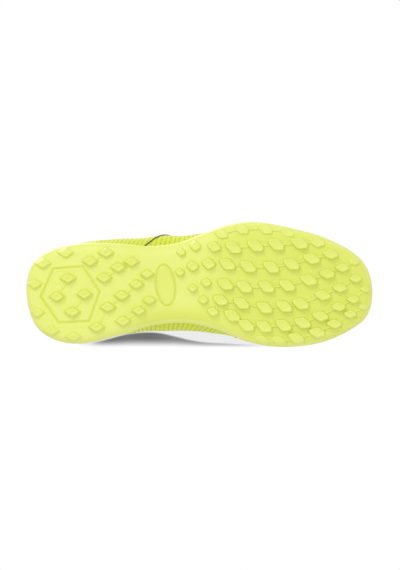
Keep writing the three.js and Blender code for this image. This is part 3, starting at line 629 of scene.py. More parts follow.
lamp("under_key", (-0.75, -1.95, -2.3), (0, 0, 0.02), 1.2, 17)
lamp("under_fill", (-0.15, -0.1, -1.5), (0, 0, 0.02), 1.4, 2.2)
lamp("top_key", (-0.5, -0.8, 1.3), (0, 0, 0.04), 0.7, 9)

# %% One-sided floor
paper, tree, shader = material("matt_studio_paper", Roughness=0.95, IOR=1.45)
fibre = add(tree, "TexNoise", {"Scale": 240.0, "Detail": 2.0})
pale = add(tree, "Mix", {"Factor": fibre, "A": srgb("#F3F3F2"), "B": srgb("#F7F7F6")}, data_type="RGBA")
wire(tree, shader, Base_Color=pale)


def one_sided(tree, front):
    """The material shows its shader on the front of a face and is clear on the back."""
    side = add(tree, "NewGeometry")
    clear = add(tree, "BsdfTransparent")
    mixed = add(tree, "MixShader", {0: side.outputs["Backfacing"], 1: front, 2: clear})
    tree.links.new(mixed.outputs[0], tree.nodes["Material Output"].inputs["Surface"])


def seen_only(obj):
    """The object is seen, but it neither shades nor lights anything."""
    for ray in ("shadow", "diffuse", "glossy", "transmission"):
        setattr(obj, "visible_" + ray, False)


one_sided(tree, shader)
FLOOR_HALF = 2500.0
corners = [(x * FLOOR_HALF, y * FLOOR_HALF, 0) for x, y in ((-1, -1), (1, -1), (1, 1), (-1, 1))]
floor = new_object("floor", corners, [(0, 1, 2, 3)], body=None, finish=paper)
seen_only(floor)
print("floor", tuple(round(v, 2) for v in floor.dimensions))

# %% [markdown]
# ### Paper behind the shoe
# A small one-sided card over the shoe has a soft contact shadow painted on it, under the
# hollow of the arch: a grey value per point, dark where shoe and paper nearly touch, fading
# outwards to white, with a paper grey painted between the shoe's edge and the shadow.

# %% Contact shadow card
# (x, upper edge of the shadow, where it starts to fade, darkest sRGB grey), in mm
SHADOW = [
    (-99, 49.5, 49.5, 255), (-90, 48, 48, 225), (-81, 46.3, 46.6, 150), (-57, 40.5, 44, 116),
    (-34, 39.7, 44, 116), (-20, 42.6, 45, 138), (-8, 45.5, 46.6, 150), (5, 47.5, 47.9, 162),
    (21, 48.3, 48.7, 180), (41, 49.5, 49.9, 215), (54, 50.5, 50.8, 250), (60, 51.5, 51.8, 255),
]
WHITE, PAPER_SHADE, FADE_END = 255.0, 236.0, 52.0
CARD_HEIGHT = 101.0  # just above the shoe, so that the card is never seen from above the floor
x, y = np.meshgrid(np.linspace(-101, 61, 210), np.linspace(36, 53.6, 70), indexing="ij")
seen = (STAND_OFF + SOLE_PLANE) / (STAND_OFF + CARD_HEIGHT * MM)
across, up_from = x * seen, y * seen
upper, fade, dark = (track(SHADOW, i, True)(across) for i in (1, 2, 3))
shadow = dark + (WHITE - dark) * smooth(up_from, fade - 0.4, FADE_END) ** 0.9
inside = smooth(up_from - upper, -0.8, 0.8)
grey = shadow * inside + PAPER_SHADE * (1 - inside)
linear = ((grey / 255 + 0.055) / 1.055) ** 2.4
card = new_object("painted_shadow_card", np.stack([x, y, 0 * x + CARD_HEIGHT], -1), grid_faces(*x.shape, flip=True),
                  body=None)
shade = card.data.attributes.new("shade", "FLOAT", "POINT")
shade.data.foreach_set("value", linear.ravel().astype(np.float32))
card_paper = bpy.data.materials.new("painted_shadow_paper")
card_paper.use_nodes = True
tree = card_paper.node_tree
value = add(tree, "Attribute", attribute_name="shade")
# Painted shadow: the card glows with its grey instead of being lit by the lamps.
glow = add(tree, "Emission", {"Color": value.outputs["Fac"]})
one_sided(tree, glow)
card.data.materials.append(card_paper)
seen_only(card)
print("card normal", [round(v, 2) for v in card.data.polygons[0].normal])

# %% [markdown]
# ## The rubber sole
# A real sole is pressed in one steel mould: a shallow cup whose wall rises round the
# foot, with every lug cut into the mould. Here the cup is a fine grid following the
# outline, and each lug is its own small loft with a flared foot, a bevelled rim and a
# dished top, because a grid fine enough for such rims would be far too heavy.

# %% Height of the sole between the lugs
# How far the underside turns up near the edge: (distance from the edge, rise)
EDGE_ROLL = [(-3, 12), (-0.5, 8.2), (0, 6.8), (0.7, 4.3), (1.5, 2.7), (2.6, 1.45), (4.2, 0.55), (6.2, 0.1),
             (8, 0)]
# The roll is wider under the arch than at the ball: (x, width factor)
ROLL_WIDTH = [(-142, 1.1), (-95, 1.15), (-55, 1.6), (-22, 2.1), (5, 1.9), (32, 1.25), (90, 1.15), (142, 1.5)]
roll_rise, roll_width = track(EDGE_ROLL, 1, True), track(ROLL_WIDTH, 1)
outline = loop_table[:-1]


def edge_distance(xy):
    """Distance in mm from points to the outline, positive inside."""
    xy = np.asarray(xy, float).reshape(-1, 2)
    out = np.empty(len(xy))
    ahead = np.roll(outline, -1, 0) - np.roll(outline, 1, 0)
    for i in range(0, len(xy), 8000):
        d = xy[i:i + 8000, None] - outline[None]
        d2 = (d ** 2).sum(-1)
        j = d2.argmin(1)
        row = np.arange(len(j))
        inward = d[row, j, 0] * ahead[j, 1] - d[row, j, 1] * ahead[j, 0]
        out[i:i + 8000] = np.sqrt(d2[row, j]) * np.sign(inward)
    return out


def sole_height(x, y, distance=None):
    """Height of the bare underside in mm."""
    d = edge_distance(np.stack([x, y], -1)) if distance is None else distance
    return underside(x) + roll_rise(np.clip(d / roll_width(x), -3, 8))


print("heel edge height", round(float(sole_height(np.array([-138.0]), np.array([5.3]))[0]), 2))

# %% Places of the lugs
HEEL_LUGS = [
    (-107.5, -5), (-116.5, 10), (-94, 8), (-104, 22.5),
    (-109.5, -26), (-128, -17), (-135, -0.5), (-133, 23), (-121, 38), (-103, 43), (-84, 35),
    (-89.5, -19), (-76.5, -26), (-78, -5.5), (-66.5, -14), (-55.5, -18.5), (-75, 18.5),
    (-63.5, 9), (-51.5, 0), (-43, -8.5), (-41, 13), (-49.5, 21.5), (-62.5, 30),
]
FORE_LUGS = [
    (17.5, -42), (34, -46), (53.5, -46), (71.5, -43.5),
    (-15, -26.5), (-3.5, -31.5), (12, -31), (27.5, -30.5), (45.5, -32), (62.5, -33), (81.5, -34), (96, -35),
    (-16, -10), (-5.5, -15), (7.5, -17), (22.5, -17), (39.5, -15), (58.5, -14.5), (75, -17), (91.5, -21.5),
    (107, -25), (-5.5, 3), (5.5, -1.5), (21, -0.5), (36.5, 1.5), (54.5, 1.5), (71.5, 0.5), (89, -4),
    (104, -9), (116.5, -14), (126.5, -19),
    (3, 12.5), (17, 12.5), (34, 15), (53, 18.5), (69, 17.5), (82.5, 15.5), (100.5, 8.5), (114.5, 2.5),
    (127.5, -5), (11, 22), (26.5, 25), (38, 33), (52.5, 34), (68.5, 33), (84, 31), (98.5, 25.5),
    (113.5, 18), (125.5, 12), (136, 3.5),
    (51, 45.5), (65, 46), (79, 43.5), (96, 39), (110, 32), (123, 24), (134.5, 18),
    (105, 41.5), (118, 36.5), (129, 29.5),
]
HEXAGON = [(-119.6, -12.7), (-95.3, -14.7), (-81.7, 6.1), (-90.1, 30.1), (-115.1, 31.2), (-129.8, 10.2)]
MEDALLION = {"x": -27.8, "y": 0.8, "half_width": 7.9, "half_height": 16.8, "tilt": 0.12}
HEXAGON_MIDDLE, RIDGE_FROM = (-105.5, 8.6), 21.6  # a low ridge stands outside the hexagon only
GROOVE_WIDTH, GROOVE_DEPTH = 1.4, 0.9
WAIST_X = -38  # lugs behind this line are heel lugs
# Ball lugs are slanted six-cornered blocks; waist lugs are turned squares.
BALL_LUG = [(-6.1, -3.9), (1.9, -3.9), (6.6, 1.6), (6.0, 4.9), (-1.4, 4.9), (-5.9, -0.6)]
WAIST_LUG = [(-4.6, -1.9), (0.6, -4.5), (4.6, 0.0), (4.4, 2.2), (-0.9, 4.6), (-4.5, 0.3)]
HEEL_LUG = [(-7.3, 0), (0, -4.7), (7.3, 0), (0, 4.7)]


def lug_outline(x, y):
    """Corners of a lug round its own centre: it shrinks and turns towards the toe."""
    if x < WAIST_X:
        return np.array(HEEL_LUG) * (1 - 0.12 * smooth(x, -62, -40))
    ball = float(smooth(x, 4, 24))
    shape = np.array(WAIST_LUG) * (1 - ball) + np.array(BALL_LUG) * ball
    size = 0.78 + 0.22 * float(smooth(x, -14, 26)) - 0.33 * float(smooth(x, 84, 136))
    if x < 16 and y > -6 or x < -10:
        size *= 0.88
    elif x < 12:
        size *= 1.12
    turn = -math.radians(22) * (1 - ball) * 0.4 - math.radians(27) * float(smooth(x, 60, 125))
    c, s = math.cos(turn), math.sin(turn)
    near_edge = float(smooth(edge_distance([(x, y)])[0], 1, 9))
    size *= 0.84 + 0.16 * near_edge
    return shape @ np.array([[c, s], [-s, c]]) * size


def rounded(corners, share, steps=5):
    """Corner polygon with each corner turned into a small arc."""
    p = np.asarray(corners, float)
    out = []
    for i in range(len(p)):
        a, b, c = p[i - 1], p[i], p[(i + 1) % len(p)]
        start, end = b + (a - b) * share, b + (c - b) * share
        for t in np.linspace(0, 1, steps):
            out.append(start * (1 - t) ** 2 + b * 2 * t * (1 - t) + end * t * t)
    return np.array(out)


print("lugs", len(HEEL_LUGS) + len(FORE_LUGS))


# %% Relief of the cup
def segment_distance(x, y, a, b):
    a, b = np.array(a, float), np.array(b, float)
    ab = b - a
    t = np.clip(((x - a[0]) * ab[0] + (y - a[1]) * ab[1]) / (ab @ ab), 0, 1)
    return np.hypot(x - a[0] - t * ab[0], y - a[1] - t * ab[1])


BALL_PAINTED_SHADE = 0.46  # painted shade where lugs stand close together
LUG_PAINTED_SHADE = 0.12   # and the least painted shade on the lugs themselves


def close_lugs(x):
    return smooth(x, -5, 45)


def relief(x, y):
    """Depth in mm pressed into (positive) or raised from (negative) the underside, and its painted shade in
    grooves, crowded ball, arch and medallion pad.
    """
    to_hexagon = np.min([segment_distance(x, y, HEXAGON[i - 1], HEXAGON[i]) for i in range(6)], 0)
    m = MEDALLION
    c, s = math.cos(m["tilt"]), math.sin(m["tilt"])
    u, v = (x - m["x"]) * c - (y - m["y"]) * s, (x - m["x"]) * s + (y - m["y"]) * c
    ring = np.hypot(u / m["half_width"], v / m["half_height"])
    to_ring = np.abs(ring - 1) * np.hypot(u, v) / np.maximum(ring, 0.05)
    depth = np.zeros_like(x)
    painted_relief_shade = np.zeros_like(x)
    for d in (to_hexagon, to_ring):
        groove = np.exp(-(d / (GROOVE_WIDTH * 0.5)) ** 2)
        depth += GROOVE_DEPTH * groove - 0.3 * np.exp(-((d - 1.9) / 0.7) ** 2)
        # The grooves are painted in shade as well as cut.
        painted_relief_shade = np.maximum(painted_relief_shade, groove)
    depth -= 0.35 * (1 - smooth(ring, 0.86, 0.98))
    outside = np.hypot(x - HEXAGON_MIDDLE[0], y - HEXAGON_MIDDLE[1]) > RIDGE_FROM
    depth -= 0.3 * np.exp(-((to_hexagon - 3.6) / 0.8) ** 2) * outside * smooth(x + y, -112, -90)
    # Shallow swells between the rows of the ball, one for each lug.
    for lx, ly in FORE_LUGS:
        near = np.exp(-(((x - lx) / 7.5) ** 2 + ((y - ly - 1) / 6.5) ** 2))
        depth -= 0.45 * near * float(smooth(lx, 0, 25))
    # Painted shade on the inner side of the arch and on the pad of the medallion, and where the ball lugs
    # crowd.
    arch = 0.55 * smooth(y, 12, 26) * smooth(x, -70, -40) * (1 - smooth(x, 5, 35))
    painted_deep_shade = np.maximum(BALL_PAINTED_SHADE * close_lugs(x), arch + 0.3 * (1 - smooth(ring, 0.86, 0.98)))
    return depth, np.maximum(painted_relief_shade, painted_deep_shade)


# %% Build the cup
ALONG, ACROSS = 430, 118
k = (np.arange(1, ALONG) / ALONG)[:, None]
s = np.linspace(0, 1, ACROSS + 1)[None, :]
INNER = 9.0  # the grid meets the edge rings here, in mm from the edge


def inner_inset(k):
    return INNER * smooth(k, 0, 0.03) * smooth(1 - k, 0, 0.03) * 0.55 + INNER * 0.45


lateral, medial = (inset(q, inner_inset(along_side(q)), 0.0)[..., :2] for q in (k[:, 0], 2 - k[:, 0]))
flat_grid = lateral[:, None] * (1 - s[..., None]) + medial[:, None] * s[..., None]
loop_q = np.concatenate([np.arange(0, ALONG) / ALONG, 2 - np.arange(ALONG, 0, -1) / ALONG])
loop_k = along_side(loop_q)


def cup_point(xy, distance=None):
    x, y = xy[..., 0].ravel(), xy[..., 1].ravel()
    depth, painted_relief_shade = relief(x, y)
    z = sole_height(x, y, None if distance is None else distance.ravel()) + depth
    return np.stack([x, y, z], -1), painted_relief_shade


sole_points, sole_painted_shade, sole_faces = [], [], []


# Each piece brings the painted shade of its points for the rubber's colour.
def sole_add(points, faces, painted_shade):
    base = sum(len(p) for p in sole_points)
    sole_points.append(np.asarray(points, float).reshape(-1, 3))
    sole_painted_shade.append(np.broadcast_to(painted_shade, len(sole_points[-1])).astype(float))
    sole_faces.extend((np.asarray(f) + base).tolist() for f in faces)


middle, painted_relief_shade = cup_point(flat_grid)
sole_add(middle, grid_faces(ALONG - 1, ACROSS + 1, flip=True), painted_relief_shade)

RING_STEPS = [1.0, 0.86, 0.72, 0.6, 0.49, 0.39, 0.3, 0.22, 0.15, 0.09, 0.04]
rings = []
for share in RING_STEPS:
    d = inner_inset(loop_k) * share
    xy = inset(loop_q, d, 0.0)[:, :2]
    points, painted_relief_shade = cup_point(xy, d)
    rings.append((points, painted_relief_shade * (share > 0.3)))
base_z = rings[-1][0][:, 2]


# %% Wall of the cup
def skin_inset_at(q, heights):
    """How far inside the outline the upper's skin stands at given heights above the sole."""
    t = np.linspace(0, 0.5, 40)
    p = skin(q[:, None], t[None, :] + 0 * q[:, None], GAP)
    away = -((p[..., :2] - edge(q)[:, None]) * outward(q)[:, None]).sum(-1)
    return np.stack([np.interp(heights[i], p[i, :, 2], away[i]) for i in range(len(q))])


foot, rim = underside(edge(loop_q)[:, 0]), rim_height(edge(loop_q)[:, 0])
levels = np.linspace(0, 1, 15)
heights = base_z[:, None] + (rim - base_z)[:, None] * levels
wall_inset = np.interp(levels, [0, 0.35, 0.8, 1], [0.35, 0.0, 0.25, 0.9])
skin_inset = skin_inset_at(loop_q, heights)
clear_of = skin_inset >= wall_inset[None] + 0.9
last_clear = np.array([levels[np.argmin(np.append(row, False)) - 1] if row[0] else 0 for row in clear_of])
spread = np.exp(-np.linspace(-2, 2, 25) ** 2)
last_clear = np.convolve(np.concatenate([last_clear[-12:], last_clear, last_clear[:12]]),
                         spread / spread.sum(), "valid")
top = base_z + (rim - base_z) * np.minimum(1, last_clear)
print("lowest lip share", round(float(last_clear.min()), 2))
for share in (0.12, 0.3, 0.46, 0.6, 0.66, 0.69, 0.72, 0.78, 0.86, 0.95, 0.99):
    level = share * last_clear
    groove = 0.45 * math.exp(-((share - 0.69) / 0.025) ** 2)
    d = np.interp(level, levels, wall_inset) + 0.25 * smooth(share, 0.85, 1) + groove
    p = inset(loop_q, d, 0.0)
    p[:, 2] = base_z + (top - base_z) * share
    # The groove below the lip is also painted in shade, by its own depth.
    rings.append((p, groove))
inner = skin_inset_at(loop_q, np.stack([top - 0.2, top - 2.5], 1)) - 0.1
for depth_below, d in ((-0.15, 0.5), (-0.1, None), (2.5, None)):
    reach_in = inner[:, 0 if depth_below < 1 else 1] if d is None else (
        np.interp(last_clear, levels, wall_inset) + inner[:, 0]) * d + 0.1
    p = inset(loop_q, reach_in, 0.0)
    p[:, 2] = top - depth_below
    # Below the lip, the inside of the cup is painted in full shade.
    rings.append((p, 0.0 if depth_below < 1 else 1.0))
ring_points = np.stack([r[0] for r in rings], 1)
ring_painted_shade = np.stack([np.broadcast_to(r[1], len(loop_q)) for r in rings], 1)
sole_add(ring_points, grid_faces(len(loop_q), len(rings), flip=True, wrap=True), ring_painted_shade.ravel())
# The grid's ends at heel and toe close on the ring with small fans.
for end, q in ((0, 0.0), (-1, 1.0)):
    line = flat_grid[end]
    tip = inset(np.array([q]), inner_inset(np.array([q])), 0.0)[:, :2]
    points, painted_relief_shade = cup_point(np.concatenate([tip, line]))
    fan = [(0, i + 1, i + 2) if end else (0, i + 2, i + 1) for i in range(ACROSS)]
    sole_add(points, fan, painted_relief_shade)
print("cup points", sum(len(p) for p in sole_points))

# %% [markdown]
# ### The lugs and the thin bars between them
# Lug profiles are rings from the foot flare up to the bevelled rim and down into the
# dish. Thin bars join neighbours of a row; on the real sole they let the rubber flow.

# %% Lugs
# (share of the lug height, growth of the outline in mm, painted shade)
FORE_PROFILE = [(-0.1, 1.5, 0.2), (0.02, 1.05, 0.35), (0.12, 0.7, 0.45), (0.35, 0.42, 0.35),
                (0.7, 0.2, 0.2), (0.88, 0.05, 0.05), (0.97, -0.25, 0), (1.0, -0.6, 0), (1.0, -1.5, 0),
                (0.94, -2.1, 0.3), (0.92, -2.8, 0.35)]
HEEL_PROFILE = [(-0.1, 1.3, 0.1), (0.03, 0.8, 0.3), (0.13, 0.3, 0.45), (0.45, -0.35, 0.4),
                (0.8, -0.95, 0.25), (0.93, -1.25, 0.1), (1.0, -1.65, 0), (1.0, -3.1, 0),
                (0.95, -3.5, 0.5), (0.93, -4.1, 0.5)]


def add_lug(x, y):
    heel = x < WAIST_X
    corners = rounded(lug_outline(x, y), 0.2 if heel else 0.22)
    distance = float(edge_distance([(x, y)])[0])
    tall = LUG_HEIGHT * (0.25 + 0.75 * float(smooth(distance, 1.5, 11)))
    profile = HEEL_PROFILE if heel else FORE_PROFILE
    reach = np.linalg.norm(corners, axis=1)
    mean = reach.mean()
    top_z_here = max(0.0, float(underside(x)) - LUG_HEIGHT) + (LUG_HEIGHT - tall)
    lift = float(roll_rise(min(8, distance / float(roll_width(x)))))
    layers, shades = [], []
    for share, grow, shade in profile:
        ring = corners * (1 + grow / (mean if grow < 0 else reach[:, None]))
        px, py = ring[:, 0] + x, ring[:, 1] + y
        d = edge_distance(np.stack([px, py], -1))
        over = np.maximum(0, 0.6 - d)[:, None]
        if over.any():
            pull = unit(np.stack([px - x, py - y], -1), 0.1)
            px, py = (np.stack([px, py], -1) - pull * over).T
            d = np.maximum(d, 0.6)
        ground = sole_height(px, py, d)
        tip = np.maximum(top_z_here + lift * 0.55, ground - tall)
        tip = np.minimum(tip, ground + 0.4)
        layers.append(np.stack([px, py, ground + (tip - ground) * share], -1))
        # Painted shade: flanks and dishes deeper, every lug a little, more where lugs crowd.
        least = LUG_PAINTED_SHADE * (1 + close_lugs(px))
        shades.append(np.maximum(shade * min(1.0, tall / LUG_HEIGHT + 0.1), least))
    points = np.stack(layers, 1)
    n, m = points.shape[:2]
    faces = grid_faces(n, m, wrap=True, flip=True).tolist()
    faces.append([i * m + m - 1 for i in range(n)][::-1])
    sole_add(points, faces, np.stack(shades, 1).ravel())


for place in HEEL_LUGS + FORE_LUGS:
    add_lug(*place)
print("points with lugs", sum(len(p) for p in sole_points))

# %% Bars between the lugs
BAR_HALF_WIDTH, BAR_HEIGHT = 0.9, 1.35


def same_row(dx, dy, x):
    """Ball lugs are joined along the length; the rows bend towards the toe."""
    return x >= 14 and 8 < dx < 21 and abs(dy + 0.32 * dx * float(smooth(x, 66, 100))) < 5.2


def same_diagonal(dx, dy, x):
    """Heel lugs are joined along the diagonals."""
    return 7 < dx < 16 and -17 < dy < -4.5


bars = []
for lugs, joined in ((FORE_LUGS, same_row), (HEEL_LUGS, same_diagonal)):
    for ax, ay in lugs:
        ahead = [(bx - ax, by) for bx, by in lugs if joined(bx - ax, by - ay, ax)]
        if ahead:
            dx, by = min(ahead)
            bars.append(((ax, ay), (ax + dx, by)))
for (ax, ay), (bx, by) in bars:
    tall = BAR_HEIGHT * (0.45 if ax < WAIST_X else 1)
    t = np.linspace(0.18, 0.82, 9)
    cx, cy = ax + (bx - ax) * t, ay + (by - ay) * t + 0.6
    ground = sole_height(cx, cy)
    along = np.array([bx - ax, by - ay]) / math.hypot(bx - ax, by - ay)
    across = np.array([-along[1], along[0]])
    section = [(-1.5, -0.3), (-0.95, 0.25), (-0.6, 0.9), (0, 1), (0.6, 0.9), (0.95, 0.25), (1.5, -0.3)]
    points = np.stack([np.stack([cx + across[0] * w * BAR_HALF_WIDTH, cy + across[1] * w * BAR_HALF_WIDTH,
                                 ground - h * tall], -1) for w, h in section], 1)
    # The bars carry a little painted shade.
    sole_add(points, grid_faces(9, 7), 0.1)
print("bars", len(bars))

# %% One rubber piece
sole = new_object("outsole_cup", np.concatenate(sole_points), sole_faces, slot="outsole_rubber",
                  finish=rubber)
# The painted shade goes into a point attribute that the rubber finish reads.
tint = sole.data.attributes.new("painted_shade", "FLOAT", "POINT")
tint.data.foreach_set("value", np.concatenate(sole_painted_shade).astype(np.float32))
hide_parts("outsole")
print("outsole size in mm", [round(v * 1000, 1) for v in sole.dimensions])

# %% [markdown]
# ## The upper
# A real upper is cut flat, sewn at the toe seam and the heel, then pulled over the
# last. Each cloth piece here is a patch of the last's surface with a measured
# thickness; the knit's eyelets and ribs come from its finish. A faint swelling between
# the rubber and the lacing keeps the cloth from looking like sheet metal.

# %% Vamp and quarters
THROAT, SEAM = 0.384, 0.0012
EYELETS = [0.425 + 0.049 * i for i in range(5)]
EYELET_T = 0.885


def throat_rim(k):
    return 1 - 0.1 * (1 - smooth(k, THROAT, 0.43))


def pucker(k, t):
    """Small pulls of the cloth: towards each eyelet, and along the feather line."""
    k, t = np.broadcast_arrays(k, t)
    pulls = np.zeros(k.shape)
    for e in EYELETS:
        pulls -= 0.35 * np.exp(-((k - e - 0.024) / 0.012) ** 2) * smooth(t, 0.35, 0.75)
    flex = 0.45 * np.sin(k * 115 + 5 * t) * np.exp(-((k - 0.33) / 0.06) ** 2) * smooth(t, 0.2, 0.5)
    return (pulls + flex * (1 - smooth(t, 0.9, 1))) * smooth(t, 0.12, 0.3)


def over_the_foot(grid):
    """Cloth coordinate of the vamp: along the foot, and across it from the ridge down each side."""
    side = np.sign(grid[..., 1] - CENTRE_Y)
    fall = np.maximum(0, grid[..., 2].max() - grid[..., 2]) * 0.8
    return np.stack([grid[..., 1] - CENTRE_Y + side * fall, grid[..., 0]], -1)


vamp = patch("vamp_mesh", -0.3815, 0.3815, 240, 70, pucker, -SKIN, 0, 1, True, over_the_foot, slot="mesh",
             finish=upper_knit)
joined = bmesh.new()
joined.from_mesh(vamp.data)
bmesh.ops.remove_doubles(joined, verts=joined.verts, dist=0.00005)
joined.to_mesh(vamp.data)
joined.free()
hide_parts("vamp")
for side, q0, q1 in (("lateral", 0.3825, 1 - SEAM), ("medial", 1 + SEAM, 2 - 0.3825)):
    quarter = patch("quarter_mesh_" + side, q0, q1, 260, 84, pucker, -SKIN, 0, throat_rim, slot="mesh",
                    finish=upper_knit)
    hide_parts("quarter_" + side)
print("vamp", len(vamp.data.vertices), "points")

# %% [markdown]
# ### Fused overlays
# Film is pressed on where the knit would stretch: round the eyelets, over the toe and
# up the heel. Each overlay is a thin patch with a soft edge that stands just proud.

# %% Overlays
FADE_CELLS = 2.2  # the film thins out over this many cells of its grid


def film_patch(name, q0, q1, low, high, thick, nq, nt, node=None):
    """Film whose thickness falls to nothing at its border, so the edge looks pressed."""
    q, s, t = places(q0, q1, nq, nt, low, high)
    border = np.minimum(np.minimum(s, 1 - s) * nt, np.minimum(q - q0, q1 - q) / (q1 - q0) * nq) / FADE_CELLS
    lift = pucker(along_side(q), t)
    obj = shell(name, skin(q, t, 0.12 + thick * smooth(border, 0, 1) + lift), skin(q, t, 0.02 + lift),
                arc_uv(skin(q, t, 0.0 * t)), slot="trim_film", finish=film)
    if node:
        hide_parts(node)


def stay_low(k):
    return 0.7 + 0.05 * smooth(k, 0.52, 0.65)


def stay_high(k):
    return throat_rim(k) - 0.012


film_patch("eyestay_film_lateral", 0.394, 0.645, stay_low, stay_high, EYESTAY, 130, 30, "eyestay_lateral")
film_patch("eyestay_film_medial", 1.355, 1.606, stay_low, stay_high, EYESTAY, 130, 30, "eyestay_medial")
film_patch("heel_strap_film", 0.945, 1.055, lambda k: 0.3 + 0.1 * (1 - smooth(k, 0.945, 1)), 0.955, 1.1,
           60, 60, "heel_overlay")
film_patch("toe_guard_film", -0.15, 0.15, 0.1,
           lambda k: 0.2 + 0.26 * (1 - smooth(k, 0.02, 0.15)), 0.5, 110, 26)
print("overlays made")

# %% [markdown]
# ### Stitches
# Every seam is held by a lockstitch: short thread lengths 2.4 mm long at a pitch of
# 3.4 mm, each sinking at its ends. One mesh holds a whole seam.

# %% Stitch lines
STITCH, PITCH, THREAD_RADIUS = 2.4, 3.4, 0.33
COLLAR_FROM, COLLAR_TO = 0.66, 0.94  # k where the seam under the collar starts and ends


def stitch_line(name, q, t, lift):
    """Stitches along a line on the skin; q and t are arrays, lift the height above it in mm."""
    line = skin(q, t, lift + 0 * q)
    normal = skin_normal(q, t)
    s = run(line)
    points, faces, cloth = [], [], []
    sides, rings = 6, 7
    for start in np.arange(0.6, s[-1] - STITCH, PITCH):
        at = np.linspace(start, start + STITCH, rings)
        mid = np.stack([np.interp(at, s, line[:, i]) for i in range(3)], -1)
        up = np.stack([np.interp(at, s, normal[:, i]) for i in range(3)], -1)
        across = np.cross(unit(np.gradient(mid, axis=0)), up)
        bow = np.sin(np.linspace(0, np.pi, rings))
        mid = mid + up * (bow * 0.3 - 0.25)[:, None]
        radius = THREAD_RADIUS * (0.45 + 0.55 * np.sqrt(bow))
        a = np.linspace(0, 2 * np.pi, sides, endpoint=False)
        ring = across[:, None] * np.cos(a)[None, :, None] + up[:, None] * np.sin(a)[None, :, None]
        base = len(points) * rings * sides
        points.append(mid[:, None] + ring * radius[:, None, None])
        cloth.append(np.stack(np.broadcast_arrays(at[:, None], (a / 3)[None, :]), -1))
        faces.append(cord_faces(rings, sides) + base)
    new_object(name, np.concatenate(points), np.concatenate(faces), np.concatenate(cloth), finish=thread)


for side, at in (("lateral", lambda k: k), ("medial", lambda k: 2 - k)):
    t = np.linspace(0.14, 0.88, 160)
    for row, k in (("a", 0.3885), ("b", 0.3975)):
        stitch_line("seam_" + side + "_" + row, at(k + 0 * t), t, 0.25)
    k = np.linspace(0.4, 0.64, 160)
    stitch_line("stay_seam_" + side, at(k), stay_low(k) + 0.022, EYESTAY + 0.3)
    k = np.linspace(0.44, 0.64, 120)
    stitch_line("throat_seam_" + side, at(k), 0.968 + 0 * k, EYESTAY + 0.3)
    k = np.linspace(COLLAR_FROM, COLLAR_TO, 200)
    stitch_line("collar_seam_" + side, at(k), 0.9 + 0 * k, 0.3)
    t = np.linspace(0.42, 0.93, 90)
    stitch_line("heel_seam_" + side, at(0.952 + 0 * t), t, 1.35)

# %% [markdown]
# ### Piping and eyelets
# A dark corded edge runs up the outer side, where the saddle is sewn, and each lace hole
# has a pressed ring that keeps the lace from cutting the film.

# %% Piping and rings
q = np.linspace(0.645, 0.5, 200)
t = np.interp(q, [0.5, 0.58, 0.645], [0.7, 0.38, 0.08])
PIPING_RADIUS = 0.75
tube("saddle_piping_lateral", skin(q, t, 0.1 + 0 * q), PIPING_RADIUS, 10, finish=thread)
RING_RADIUS, RING_THICK = 2.7, 0.62
for number, q in enumerate(EYELETS + [2 - e for e in EYELETS]):
    here = np.array([q])
    n = skin_normal(here, np.array([EYELET_T]))[0]
    centre = skin(here, np.array([EYELET_T]), np.array([GAP + EYESTAY]))[0]
    side = unit(np.cross(n, [0, 0, 1.0]))
    lift = np.cross(side, n)
    a = np.linspace(0, 2 * np.pi, 28, endpoint=False)[:, None]
    circle = centre + (side * np.cos(a) + lift * np.sin(a)) * RING_RADIUS
    tube("eyelet_ring_%02d" % number, circle, RING_THICK, 8, True, 1.0, n, finish=binding)
print("eyelet rings", number + 1)

# %% [markdown]
# ### Lining and padded collar
# Inside the ankle opening a brushed knit covers a foam roll. The roll is fullest below
# the rim and thins over it, which is what keeps the heel from slipping.

# %% Lining faces
def puff_zone(k, t):
    return (1 - smooth(k, 0.09, 0.13)) * (1 - smooth(t, 0.47, 0.6))


def counter_zone(k, t):
    return smooth(k, 0.74, 0.78) * (1 - smooth(t, 0.47, 0.6))


def pad_zone(k, t):
    return smooth(k, 0.67, 0.7) * smooth(t, 0.47, 0.6) * (1 - 0.78 * smooth(t, 0.82, 1))


def lining_face(k, t):
    return -(SKIN + GAP + (PUFF + GAP) * puff_zone(k, t)
             + (COUNTER + GAP) * counter_zone(k, t) * (1 - pad_zone(k, t)) + COLLAR_PAD * pad_zone(k, t))


def lining_back(k, t):
    return lining_face(k, t) - LINING


for side, q0, q1 in (("lateral", THROAT, 0.7788), ("medial", 1.2212, 2 - THROAT)):
    lining = patch("quarter_lining_knit_" + side, q0, q1, 120, 44, lining_face, lining_back, 0.01,
                   stay_high, slot="lining_cloth", finish=lining_knit)
    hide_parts("quarter_lining_" + side)
heel_lining = patch("heel_lining_knit", 0.7812, 1.2188, 120, 44, lining_face, lining_back, 0.01, 0.93,
                    slot="lining_cloth", finish=lining_knit)
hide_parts("heel_lining")

# %% Collar roll
q = np.linspace(0.652, 1.348, 260)
k = along_side(q)
full = smooth(k, 0.652, 0.7)
rows = []
for t in np.linspace(0.5, 1.0, 26):
    sunk = 0.9 * np.exp(-((t - 0.7) / 0.022) ** 2) * full
    swell = 0.7 * np.sin(np.pi * np.clip((t - 0.5) / 0.2, 0, 1))
    swell += np.sin(np.pi * np.clip((t - 0.7) / 0.3, 0, 1))
    d = lining_back(k, t + 0 * k) - 0.12 - swell * full + sunk
    rows.append(skin(q, t + 0 * q, d))
end = rows[-1]
outer_edge = skin(q, 1 + 0 * q, 0.25 + 0 * q)
centre, half = (end + outer_edge) / 2, (outer_edge - end) / 2
up = unit(skin(q, 1 + 0 * q, -1.5 + 0 * q) - skin(q, 0.96 + 0 * q, -1.5 + 0 * q))
roll = np.linalg.norm(half, axis=1, keepdims=True) * (0.45 + 0.3 * full[:, None])
for a in np.linspace(0, np.pi, 12)[1:]:
    rows.append(centre - half * np.cos(a) + up * roll * np.sin(a))
